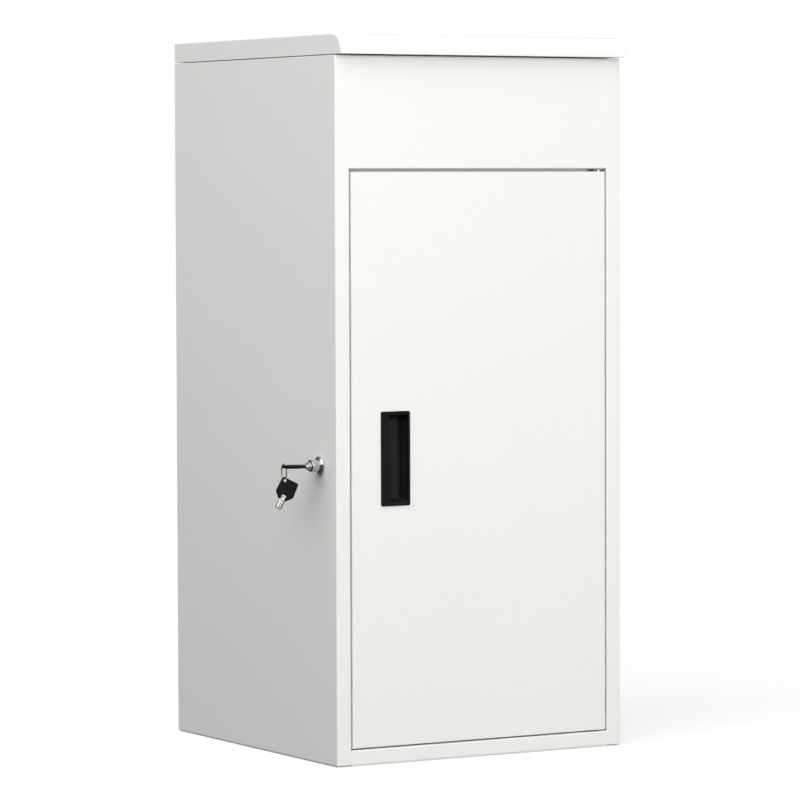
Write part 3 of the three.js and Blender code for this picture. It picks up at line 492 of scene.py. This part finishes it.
def build_pull():
    """Flush pull: a thin flange, a finger lip down its left side, sloping walls and a dished floor."""
    low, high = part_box("handle_cup")
    cx, cz = (low.x + high.x) / 2 / MM, (low.z + high.z) / 2 / MM
    half_w, half_h = (high.x - low.x) / 2 / MM, (high.z - low.z) / 2 / MM
    front, back = low.y / MM, high.y / MM

    def loop(shift, inset_w, inset_h, radius, y):
        """One loop of the pull's surface, from how far it lies inside the flange's outline."""
        return rounded_rectangle(cx + shift, cz, half_w - inset_w, half_h - inset_h, radius, y)

    under = front + PULL_FLANGE
    lap = PULL_FLANGE
    outside = [
        loop(0, 3.0, 3.0, 1.5, back),
        loop(0, 2.2, 2.2, 2.2, back - 0.6),
        loop(0, lap, lap, 2.6, back - 1.6),
        loop(0, lap, lap, 2.6, under),
    ]
    flange = [
        loop(0, 0.15, 0.15, 2.2, under),
        loop(0, 0.0, 0.0, 2.4, under - 0.25),
        loop(0, 0.0, 0.0, 2.4, front + 0.75),
        loop(0, 0.12, 0.12, 2.3, front + 0.38),
        loop(0, 0.4, 0.4, 2.1, front + 0.12),
        loop(0, 0.8, 0.8, 1.8, front),
        loop(0, 2.6, 2.6, 1.4, front),
        loop(0, 3.2, 3.3, 1.3, front + 0.12),
    ]
    mouth = [
        loop(LIP_SHIFT + 0.1, 8.2, 5.2, 1.2, front + 0.3),
        loop(LIP_SHIFT, 8.6, 6.0, 1.4, front + 0.9),
        loop(LIP_SHIFT, 8.7, 6.6, 1.6, front + 1.9),
        loop(LIP_SHIFT, 8.8, 6.9, 1.7, front + 3.0),
        loop(LIP_SHIFT, 8.6, 6.9, 1.8, front + 3.9),
    ]
    recess = [
        loop(0.9, 5.2, 6.2, 2.2, front + 4.9),
        loop(-0.2, 4.7, 6.4, 2.6, front + 6.5),
        loop(-1.0, 5.6, 7.6, 3.2, back - 5.0),
        loop(-1.6, 6.4, 9.2, 3.6, back - 2.9),
        loop(-1.9, 7.4, 11.0, 3.4, back - 2.0),
        loop(-2.0, 9.0, 14.0, 3.0, back - 1.6),
    ]
    bm = bmesh.new()
    rings = [ring_of(bm, points) for points in outside + flange + mouth + recess]
    first_of_recess = len(rings) - len(recess) - 1
    for number, (first, second) in enumerate(zip(rings, rings[1:])):
        for face in bridge(bm, first, second):
            face.material_index = 1 if number >= first_of_recess else 0
    bm.faces.new(reversed(rings[0]))
    bm.faces.new(rings[-1]).material_index = 1
    pull = make_piece("pull", bm, "black_plastic", "door", stands_for=["handle_cup"], angle=50)
    # The second slot, on the faces from the mouth inwards, is the recess plastic, painted lighter to lift the
    # shade in the cup.
    pull.data.materials.append(RECESS_TEXTURED_AND_PAINTED_LIGHT)


# ---------------------------------------------------------------- lock

def build_barrel(place, wall):
    low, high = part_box("lock_housing")
    head, end = low.x / MM, high.x / MM
    groove = BARREL - 0.25
    corners = [
        (head + 0.9, BARREL_BORE, 0.1),
        (head + 0.9, BARREL_BORE + 1, 0.15),
        (head, BARREL_BORE + 1.25, 0.25),
        (head, BARREL, 0.8),
        (head + 2.4, BARREL, 0.1),
        (head + 2.4, groove, 0.1),
        (head + 2.9, groove, 0.1),
        (head + 2.9, BARREL, 0.1),
        (wall - 1.8, BARREL, 0.1),
        (wall - 1.8, BARREL_FLANGE, 0.2),
        (wall - WALL_GAP, BARREL_FLANGE, 0.1),
        (wall - WALL_GAP, BARREL, 0.1),
        (end, BARREL, 0.3),
        (end, BARREL_BORE, 0.2),
    ]
    build_turned("lock_barrel", corners, 3, 64, "cabinet", place, "lock_housing")


def build_collar(place, wall):
    """A thin disc on the wall with a dished face."""
    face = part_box("lock_escutcheon")[0].x / MM
    foot = wall - WALL_GAP
    inside = wall - 2.1
    corners = [
        (face, COLLAR_BORE, 0.15),
        (face, 9.6, 0.3),
        (face + 0.7, 10.4, 0.35),
        (face + 0.7, 11.6, 0.35),
        (face, 12.2, 0.3),
        (face + 0.9, COLLAR, 0.5),
        (foot, COLLAR, 0.2),
        (foot, COLLAR - 2, 0.1),
        (inside, COLLAR - 2, 0.1),
        (inside, COLLAR_BORE, 0.1),
    ]
    build_turned("lock_collar", corners, 5, 72, "cabinet", place, "lock_escutcheon")


def build_plug(place):
    """The plug, with the ring-shaped keyway of a tubular lock in its nose."""
    low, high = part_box("lock_plug")
    nose, tail = low.x / MM, high.x / MM
    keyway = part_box("key_shaft")[1].x / MM + WALL_GAP
    square = tail - 3.8
    corners = [
        (nose + 0.4, 0, 0),
        (nose + 0.4, 3.0, 0.5),
        (keyway, 3.0, 0.1),
        (keyway, 5.05, 0.1),
        (nose, 5.05, 0.2),
        (nose, PLUG, 0.45),
        (square, PLUG, 0.3),
        (square, 3.6, 0.2),
        (tail, 3.6, 0.3),
        (tail, 0, 0),
    ]
    build_turned("lock_plug_nose", corners, 3, 56, "lock_plug", place, "lock_plug", closed=False)


def build_turned(name, corners, steps, segments, body, place, node_name, closed=True):
    """A chrome part turned about X from corners of (x, radius, fillet) in mm."""
    points = [(x, radius) for x, radius, _ in corners]
    profile = filleted(points, [fillet for _, _, fillet in corners], steps, closed=closed)
    make_piece(name, lathe(profile, segments), "chrome", body, place, [node_name])


def build_lock():
    place = along_x(Vector((0, *centre_of("lock_plug").yz)))
    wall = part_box("left_side_panel")[0].x / MM
    build_barrel(place, wall)
    build_collar(place, wall)
    build_plug(place)


# ---------------------------------------------------------------- keys

def tube_section(s, around):
    """Half thickness and cut depth of a key's tube at s mm from its tip, pressed flat towards the bow."""
    t = min(1.0, max(0.0, (s - FLAT_START) / FLAT_RUN))
    flatten = t * t * (3 - 2 * t)
    thick = TUBE_RADIUS + (FLAT_HALF - TUBE_RADIUS) * flatten
    cut = 0.0
    for i, depth in enumerate(BITTING):
        angle = 2 * math.pi * (i + 0.5) / len(BITTING)
        off = abs((around - angle + math.pi) % (2 * math.pi) - math.pi)
        if off < NOTCH_HALF_ANGLE and s < depth:
            cut = NOTCH_DEPTH
    return thick, cut


def build_shaft(name, body, place, node):
    """Hollow steel tube with the notches of a tubular key round its tip."""
    segments = 84
    bm = bmesh.new()
    rings = []
    for s in TUBE_STATIONS:
        chamfer = max(0.0, 0.28 - s) * 0.8 + max(0.0, s - (TUBE_END - 0.6)) * 0.7
        points = []
        for angle in circle_angles(segments):
            thick, cut = tube_section(s, angle)
            reach = 1 - (chamfer + cut) / TUBE_RADIUS
            y = TUBE_RADIUS * reach * math.cos(angle)
            points.append((s * MM, y * MM, thick * reach * math.sin(angle) * MM))
        rings.append(ring_of(bm, points))
    end_cap = [Vector(v.co) for v in rings[-1]]
    for first, second in zip(rings, rings[1:]):
        bridge(bm, first, second)
    inset = ring_of(bm, [Vector((TUBE_END * MM, p.y * 0.82, p.z * 0.78)) for p in end_cap])
    bridge(bm, rings[-1], inset)
    bm.faces.new(inset)
    bore = (
        (0.0, TUBE_BORE + 0.18),
        (0.18, TUBE_BORE),
        (BORE_DEPTH - 0.2, TUBE_BORE),
        (BORE_DEPTH, TUBE_BORE - 0.2),
    )
    bores = [ring_of(bm, circle_x(s, radius, segments)) for s, radius in bore]
    bridge(bm, rings[0], bores[0])
    for first, second in zip(bores, bores[1:]):
        bridge(bm, first, second)
    bm.faces.new(bores[-1])
    make_piece(name, bm, "nickel", body, place, [node], angle=40)


def offset_loop(points, inset):
    """Moves each point of a loop that runs anticlockwise inwards by inset."""
    count = len(points)
    moved = []
    for i, point in enumerate(points):
        edge = (points[(i + 1) % count] - points[i - 1]).normalized()
        moved.append(point + inset * Vector((-edge.y, edge.x)))
    return moved


def anticlockwise(points):
    area = sum(a.cross(b) for a, b in zip(points, points[1:] + points[:1]))
    return points if area > 0 else points[::-1]


def build_bow(name, body, place, node, thickness, hole):
    """Moulded head: soft edges, a shallow panel sunk in each face and a slot for the ring."""
    half = thickness / 2
    corners = list(BOW_HALF) + [(s, -w) for s, w in reversed(BOW_HALF)]
    outer = anticlockwise(filleted(corners, BOW_ROUND + BOW_ROUND[::-1], 6))
    s0, s1, w0, w1 = hole
    slot = anticlockwise(filleted([(s0, w0), (s1, w0), (s1, w1), (s0, w1)], [1.2] * 4, 4))
    panel_corners = [(21.5, -6.0), (33.0, -9.6), (33.0, 9.6), (21.5, 6.0)]
    panel = anticlockwise(filleted(panel_corners, [2.5, 2, 2, 2.5], 5))
    rim = [(0.75, 0), (0.38, 0.08), (0.12, 0.3), (0.0, 0.7)]
    edge = [(inset, down - half) for inset, down in rim]
    edge += [(inset, half - down) for inset, down in reversed(rim)]
    rim = [(-0.45, 0), (-0.15, 0.15), (0.0, 0.45)]
    bore = [(inset, down - half) for inset, down in rim]
    bore += [(inset, half - down) for inset, down in reversed(rim)]
    bm = bmesh.new()

    def loops(shape, levels):
        made = []
        for inset, z in levels:
            points = [(p.x * MM, p.y * MM, z * MM) for p in offset_loop(shape, inset)]
            made.append(ring_of(bm, points))
        for first, second in zip(made, made[1:]):
            bridge(bm, first, second)
        return made

    outside, inside = loops(outer, edge), loops(slot, bore)
    for face, side in ((0, -1), (-1, 1)):
        levels = [(0.0, side * half), (0.18, side * (half - 0.1)), (0.3, side * (half - 0.35))]
        sunk = loops(panel, levels)
        bm.faces.new(sunk[-1])
        border = []
        for loop in (outside[face], inside[face], sunk[0]):
            border += [bm.edges.get(ends) for ends in zip(loop, loop[1:] + loop[:1])]
        bmesh.ops.triangle_fill(bm, use_beauty=True, edges=border)
    make_piece(name, bm, "black_plastic", body, place, [node], angle=40)


def ring_frame():
    """The ring's own directions: across it, and square to it."""
    across = Vector(JOINT["spare_key_swing"]["axis"])
    return across, Vector((across.y, -across.x, 0))


def build_keys():
    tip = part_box("key_shaft")[1].x
    axis = centre_of("lock_plug")
    low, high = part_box("key_bow")
    thickness = (high.z - low.z) / MM
    place = along_x(Vector((tip, axis.y, axis.z)), flip=True)
    build_shaft("key_tube", "key", place, "key_shaft")
    build_bow("key_head", "key", place, "key_bow", thickness, KEY_SLOT)

    held = Vector(JOINT["spare_key_swing"]["pos_m"])
    _, normal = ring_frame()
    along = normal * math.sin(SPARE_TILT) + UP * math.cos(SPARE_TILT)
    width = UP * math.sin(SPARE_TILT) - normal * math.cos(SPARE_TILT)
    spare_tip = held - along * SPARE_HELD_AT[0] * MM - width * SPARE_HELD_AT[1] * MM
    turn = Matrix((along, width, along.cross(width))).transposed().to_4x4()
    place = Matrix.Translation(spare_tip) @ turn
    build_shaft("spare_key_tube", "spare_key", place, "spare_key_shaft")
    build_bow("spare_key_head", "spare_key", place, "spare_key_bow", thickness, SPARE_SLOT)


def build_ring():
    """Split ring: two turns of flattened spring wire, with the free ends lying against the coil."""
    across, normal = ring_frame()
    turn = Matrix((across, UP, normal)).transposed().to_4x4()
    place = Matrix.Translation(centre_of("key_ring")) @ turn
    bm = bmesh.new()
    per_turn, around = 96, 10
    count = int(RING_TURNS * per_turn)
    rings = []
    for i in range(count + 1):
        share = i / count
        angle = 2 * math.pi * RING_TURNS * share + RING_START
        step = min(1.0, max(0.0, (share * RING_TURNS - 0.90) / 0.16))
        layer = (step * step * (3 - 2 * step) - 0.5) * 2 * (WIRE_HALF_THICKNESS + 0.015)
        radial = Vector((math.cos(angle), math.sin(angle), 0))
        taper = min(1.0, 0.55 + min(i, count - i) * 0.15)
        points = []
        for a in circle_angles(around):
            ca, sa = math.cos(a), math.sin(a)
            u = math.copysign(abs(ca) ** 0.7, ca) * WIRE_HALF_WIDTH * taper
            v = math.copysign(abs(sa) ** 0.7, sa) * WIRE_HALF_THICKNESS * taper
            point = radial * (RING_RADIUS + u) + Vector((0, 0, layer + v))
            points.append(point * MM)
        rings.append(ring_of(bm, points))
    for first, second in zip(rings, rings[1:]):
        bridge(bm, first, second)
    bm.faces.new(reversed(rings[0]))
    bm.faces.new(rings[-1])
    make_piece("split_ring", bm, "nickel", "key_ring", place, ["key_ring"], angle=60)


# ---------------------------------------------------------------- folded edges

def rounded_folds(node_name, name, body, chosen, radius):
    """Stands in for a CAD sheet with the chosen outer folds rounded to a radius in mm."""
    node = frame["nodes"][node_name]
    bm = bmesh.new()
    bm.from_mesh(node.data)
    bm.transform(node.matrix_world)
    bmesh.ops.remove_doubles(bm, verts=bm.verts, dist=SAME_CORNER)
    bmesh.ops.dissolve_limit(bm, angle_limit=SAME_PLANE, verts=bm.verts, edges=bm.edges)
    bm.normal_update()
    edges = [e for e in bm.edges if e.calc_face_angle(0) > FOLD_ANGLE and chosen(e)]
    bmesh.ops.bevel(
        bm, geom=edges, offset=radius * MM, segments=4, profile=0.5, affect="EDGES", clamp_overlap=False)
    piece = make_piece(name, bm, SLOT_OF[node_name], body, stands_for=[node_name], weighted=False)
    soften_cut_edges(piece)
    piece.data.polygons.foreach_set("use_smooth", [True] * len(piece.data.polygons))
    for edge in piece.data.edges:
        edge.use_edge_sharp = False


def on_plane(edge, axis, value):
    """Whether both ends of an edge have this coordinate."""
    return all(abs(v.co[axis] - value) < SAME_CORNER for v in edge.verts)


def round_sheets():
    low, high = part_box("lid_shell")

    def lid_side(edge):
        above = all(v.co.z > LID_SKIRT for v in edge.verts)
        return above and (on_plane(edge, 0, low.x) or on_plane(edge, 0, high.x))

    rounded_folds("lid_shell", "lid_cover", "lid", lid_side, LID_SIDE_FOLD)
    for side_name, side in SIDES:
        node_name = f"{side_name}_side_panel"
        wall_low, wall_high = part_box(node_name)
        outer = wall_low.x if side < 0 else wall_high.x

        def top(edge):
            return on_plane(edge, 0, outer) and on_plane(edge, 2, wall_high.z)

        rounded_folds(node_name, f"{side_name}_wall", "cabinet", top, SIDE_TOP_FOLD)


# ---------------------------------------------------------------- small parts

def seam_section():
    """Section of the filler on the right: down the panel's edge, then round the stile's fold."""
    start = math.acos(1 - SEAM_SUNK / STILE_FOLD)
    steps = 8
    section = [(SEAM_PANEL, SEAM_DEPTH), (SEAM_PANEL, 0.28), (SEAM_PANEL - 0.15, SEAM_SUNK)]
    for i in range(steps + 1):
        angle = start + (math.pi / 2 - start) * i / steps
        x = SEAM_STILE + STILE_FOLD * (1 - math.sin(angle))
        section.append((x, STILE_FOLD * (1 - math.cos(angle))))
    section.append((SEAM_STILE, SEAM_DEPTH))
    return section


def weld_fillers():
    """Coated filler between each stile's fold and the panel beside it, a shade below their faces."""
    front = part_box("left_side_panel")[0].y / MM
    section = seam_section()
    panels = (("upper", "upper_front_panel", 13.5, 0.3), ("sill", "sill_rail", 0.3, 10.5))
    for label, node_name, lift, drop in panels:
        low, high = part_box(node_name)
        ends = (low.z / MM + lift, high.z / MM - drop)
        for side_name, side in SIDES:
            bm = bmesh.new()
            loops = []
            for z in ends:
                loops.append(ring_of(bm, [(side * x * MM, (front + y) * MM, z * MM) for x, y in section]))
            bridge(bm, *loops)
            bm.faces.new(reversed(loops[0]))
            bm.faces.new(loops[1])
            make_piece(f"seam_{label}_{side_name}", bm, "powder_white", "cabinet")


def turned_like(node_name, name, body, axis, profile, soft=0.2, flip=False):
    """Stands in for a faceted turned CAD part. The profile gives (mm from its low end, radius)."""
    low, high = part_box(node_name)
    length = (high[axis] - low[axis]) / MM
    profile = [(place - length / 2, radius) for place, radius in profile]
    closed = profile[0][1] > 0
    radii = [soft] * len(profile)
    if not closed:
        radii[0] = radii[-1] = 0
    bm = lathe(filleted(profile, radii, 3, closed=closed), 40)
    turn = X_TO_AXIS[axis]
    if flip:
        turn = turn @ Matrix.Rotation(math.pi, 4, "Z")
    place = Matrix.Translation((low + high) / 2) @ turn
    make_piece(name, bm, SLOT_OF[node_name], body, place, [node_name])


def plain_rod(node_name, name, body, axis, soft=0.3):
    low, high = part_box(node_name)
    size = (high - low) / MM
    radius = max(size[(axis + 1) % 3], size[(axis + 2) % 3]) / 2
    length = size[axis]
    turned_like(node_name, name, body, axis, [(0, 0), (0, radius), (length, radius), (length, 0)], soft)


def height_of(node_name):
    low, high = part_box(node_name)
    return (high.z - low.z) / MM


def turn_linkage():
    """The tray's pivot rod and bushes, and the riveted pins of the links."""
    plain_rod("tray_rod", "pivot_rod", "tray", 0)
    shank, head = 3, 5
    pin = [
        (0, 0), (0, head), (1.7, head), (1.7, shank), (4.3, shank), (4.3, head),
        (7.4, head), (7.4, shank), (10, shank), (10, head), (11.5, head), (11.5, 0),
    ]
    bush = [(0, 4.3), (0, 10), (1.5, 10), (1.5, 7), (7.8, 7), (7.8, 4.3)]
    for side_name, side in SIDES:
        left = side < 0
        turned_like(f"lid_crank_pin_{side_name}", f"upper_rivet_{side_name}", "lid", 0, pin, flip=left)
        turned_like(f"tray_crank_pin_{side_name}", f"lower_rivet_{side_name}", "tray", 0, pin, flip=left)
        turned_like(f"tray_bush_{side_name}", f"rod_bush_{side_name}", "cabinet", 0, bush, flip=left)


def turn_door_bushes():
    bore, tube, flange = 3.3, 4.4, 6
    top = height_of("door_bush_upper")
    upper = [(0, bore), (0, flange), (1.5, flange), (1.5, tube), (top, tube), (top, bore)]
    turned_like("door_bush_upper", "pivot_bush_upper", "cabinet", 2, upper)
    top = height_of("door_bush_lower")
    lower = [(0, bore), (0, tube), (top - 1.8, tube), (top - 1.8, flange), (top, flange), (top, bore)]
    turned_like("door_bush_lower", "pivot_bush_lower", "cabinet", 2, lower)


def turn_small_parts():
    turn_linkage()
    turn_door_bushes()
    plain_rod("lid_hinge_pin", "hinge_wire", "cabinet", 0)
    for place in ("upper", "lower"):
        plain_rod(f"door_buffer_{place}", f"buffer_{place}", "cabinet", 1)
    for side_name, _ in SIDES:
        for end in ("front", "rear"):
            plain_rod(f"lid_bumper_{end}_{side_name}", f"bumper_{end}_{side_name}", "cabinet", 2, 0.15)
    screw = [(0, 0), (0, 2), (5.8, 2), (5.8, 5), (9.0, 5), (9.0, 2.4), (7.4, 2.2), (7.4, 0)]
    turned_like("cam_screw", "cam_bolt", "lock_plug", 0, screw)


def rivets(name, body, places, axis, radius, height, slot="zinc_steel"):
    """Domed heads standing on a sheet, all in one piece. Places, radius and height are in mm."""
    bm = bmesh.new()
    rings, segments = 5, 20
    out = Vector(axis)
    side = out.orthogonal().normalized()
    other = out.cross(side)
    for place in places:
        foot = Vector(place) * MM
        last = None
        for k in range(rings):
            angle = math.pi / 2 * k / rings
            reach = radius * math.cos(angle)
            rise = RIVET_FOOT + (height - RIVET_FOOT) * math.sin(angle)
            points = []
            for a in circle_angles(segments):
                round_foot = side * math.cos(a) + other * math.sin(a)
                points.append(foot + (out * rise + round_foot * reach) * MM)
            loop = ring_of(bm, points)
            if last:
                bridge(bm, last, loop)
            else:
                base = ring_of(bm, [v.co - out * RIVET_FOOT * MM for v in loop])
                bridge(bm, base, loop)
                bm.faces.new(reversed(base))
            last = loop
        bm.faces.new(last)
    make_piece(name, bm, slot, body, angle=50)


def rivet_hinge():
    radius, height = 3.2, 1.3
    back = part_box("left_side_panel")[1].y / MM
    lid_plate = back + 1.3
    body_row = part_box("lid_hinge_body_leaf")[0].z / MM + 11
    lid_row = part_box("lid_hinge_lid_leaf")[1].z / MM - 9
    xs = (-180, -108, -36, 36, 108, 180)
    body_spots = [(x, back, body_row) for x in xs]
    rivets("hinge_rivets_body", "cabinet", body_spots, BACKWARDS, radius, height)
    rivets("hinge_rivets_lid", "lid", [(x, lid_plate, lid_row) for x in xs], BACKWARDS, radius, height)


def rivet_brackets():
    foot, spread = 227.2, 27
    for side_name, side in SIDES:
        middle = centre_of(f"tray_bracket_{side_name}") / MM
        spots = [(side * foot, middle.y, middle.z + dz) for dz in (-spread, spread)]
        rivets(f"bracket_rivets_{side_name}", "cabinet", spots, (-side, 0, 0), 2.8, 1.1)


def rivet_catch():
    low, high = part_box("door_catch")
    heel = low.y / MM + 2
    spots = [(-196, heel, low.z / MM + 7), (-196, heel, high.z / MM - 7)]
    rivets("catch_rivets", "door", spots, BACKWARDS, 2.6, 1.0)


def spot_welds():
    """Shallow spots along the feet of the door's and lid's stiffeners, under the coating."""
    radius, height = 2.4, 0.35
    feet = (-15.5, 15.5)
    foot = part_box("door_stiffener")[0].y / MM + 1
    spots = [(x, foot, z) for x in feet for z in range(90, 780, 120)]
    rivets("stiffener_spots_door", "door", spots, BACKWARDS, radius, height, "powder_white")
    for end in ("front", "rear"):
        low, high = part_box(f"lid_stiffener_{end}")
        y = (low.y + high.y) / 2 / MM
        foot = high.z / MM - 1
        spots = [(x, y + dy, foot) for dy in feet for x in (-165, -82, 0, 82, 165)]
        rivets(f"stiffener_spots_{end}", "lid", spots, (0, 0, -1), radius, height, "powder_white")


def add_rivets():
    rivet_hinge()
    rivet_brackets()
    rivet_catch()
    spot_welds()


# ---------------------------------------------------------------- assembly

build_pull()
build_lock()
build_keys()
build_ring()
round_sheets()
weld_fillers()
turn_small_parts()
add_rivets()
for node_name, node in frame["nodes"].items():
    if not node.hide_render:
        dress(node_name)


# ---------------------------------------------------------------- stage, light and camera

def pale_floor():
    """Grey with a lift near the object for the camera, fading to white; other rays see a dark floor."""
    material, tree = new_graph("pale_floor")
    coords = add_node(tree, "TexCoord").outputs["Object"]
    length = add_node(tree, "VectorMath", {"operation": "LENGTH"})
    tree.links.new(coords, length.inputs[0])
    fade = ranged(tree, length.outputs["Value"], FADE_START, FADE_END, 0.0, 1.0, smooth=True)
    seen = add_node(tree, "LightPath").outputs["Is Camera Ray"]
    near = add_node(tree, "BsdfDiffuse", Color=FLOOR_GREY)
    lift = add_node(tree, "Emission", Color=WHITE, Strength=FLOOR_LIFT)
    lifted = add_node(tree, "AddShader")
    tree.links.new(near.outputs[0], lifted.inputs[0])
    tree.links.new(lift.outputs[0], lifted.inputs[1])
    white = add_node(tree, "Emission", Color=WHITE, Strength=1.0)
    shown = mixed_shaders(tree, fade, lifted.outputs[0], white.outputs[0])
    bounce = add_node(tree, "BsdfDiffuse", Color=FLOOR_BOUNCE)
    final = mixed_shaders(tree, seen, bounce.outputs[0], shown)
    output = tree.nodes.new("ShaderNodeOutputMaterial")
    tree.links.new(final, output.inputs["Surface"])
    return material


def build_floor():
    bm = bmesh.new()
    bmesh.ops.create_grid(bm, x_segments=1, y_segments=1, size=FLOOR_HALF)
    mesh = bpy.data.meshes.new("floor")
    bm.to_mesh(mesh)
    bm.free()
    mesh.materials.append(pale_floor())
    floor = bpy.data.objects.new("floor", mesh)
    floor.location.z = -FLOOR_DROP
    bpy.context.scene.collection.objects.link(floor)


def build_world():
    """White where seen directly; for light and reflections, a studio with a bright ceiling."""
    world = bpy.data.worlds.new("studio")
    bpy.context.scene.world = world
    world.use_nodes = True
    tree = world.node_tree
    tree.nodes.clear()
    direction = add_node(tree, "TexCoord").outputs["Generated"]
    rise = add_node(tree, "SeparateXYZ", Vector=direction).outputs["Z"]
    height = ranged(tree, rise, -0.1, 0.75, 0.0, 1.0, smooth=True)
    band = ranged(tree, rise, 0.02, 0.45, 0.0, 1.0, smooth=True)
    path = add_node(tree, "LightPath")
    light = mixed(tree, height, WORLD_LOW, WORLD_HIGH)
    mirrored = mixed(tree, band, WORLD_DARK, WORLD_BRIGHT)
    studio = mixed(tree, path.outputs["Is Glossy Ray"], light, mirrored)
    lit = add_node(tree, "Background", Color=studio, Strength=1.0)
    white = add_node(tree, "Background", Color=WHITE, Strength=1.0)
    final = mixed_shaders(tree, path.outputs["Is Camera Ray"], lit.outputs[0], white.outputs[0])
    output = tree.nodes.new("ShaderNodeOutputWorld")
    tree.links.new(final, output.inputs["Surface"])


def soft_light(name, location, target, size, power, colour=(1, 1, 1)):
    data = bpy.data.lights.new(name, "AREA")
    data.shape = "RECTANGLE"
    data.size, data.size_y = size
    data.energy = power
    data.color = colour
    light = bpy.data.objects.new(name, data)
    light.location = location
    light.rotation_mode = "QUATERNION"
    light.rotation_quaternion = (Vector(target) - Vector(location)).to_track_quat("-Z", "Y")
    light.visible_camera = False
    bpy.context.scene.collection.objects.link(light)


def build_camera():
    data = bpy.data.cameras.new("camera")
    data.lens = LENS
    data.sensor_width = SENSOR
    camera = bpy.data.objects.new("camera", data)
    turn = (
        Matrix.Rotation(math.radians(CAMERA_HEADING), 4, "Z")
        @ Matrix.Rotation(math.radians(90 - CAMERA_DIP), 4, "X")
        @ Matrix.Rotation(math.radians(CAMERA_ROLL), 4, "Z")
    )
    camera.matrix_world = Matrix.Translation(CAMERA_PLACE) @ turn
    bpy.context.scene.collection.objects.link(camera)
    bpy.context.scene.camera = camera


build_floor()
build_world()
soft_light("key", (0.95, -4.2, 1.2), (0, -0.2, 0.5), (1.5, 2.4), 107, (1, 0.998, 0.985))
soft_light("left", (-2.7, -1.2, 3.1), (-0.2, 0, 0.8), (5.5, 4.0), 158)
soft_light("top", (0.2, 0.4, 3.2), (0, 0, 0.9), (2.0, 2.0), 5)
build_camera()
bpy.context.scene.view_settings.view_transform = "Standard"
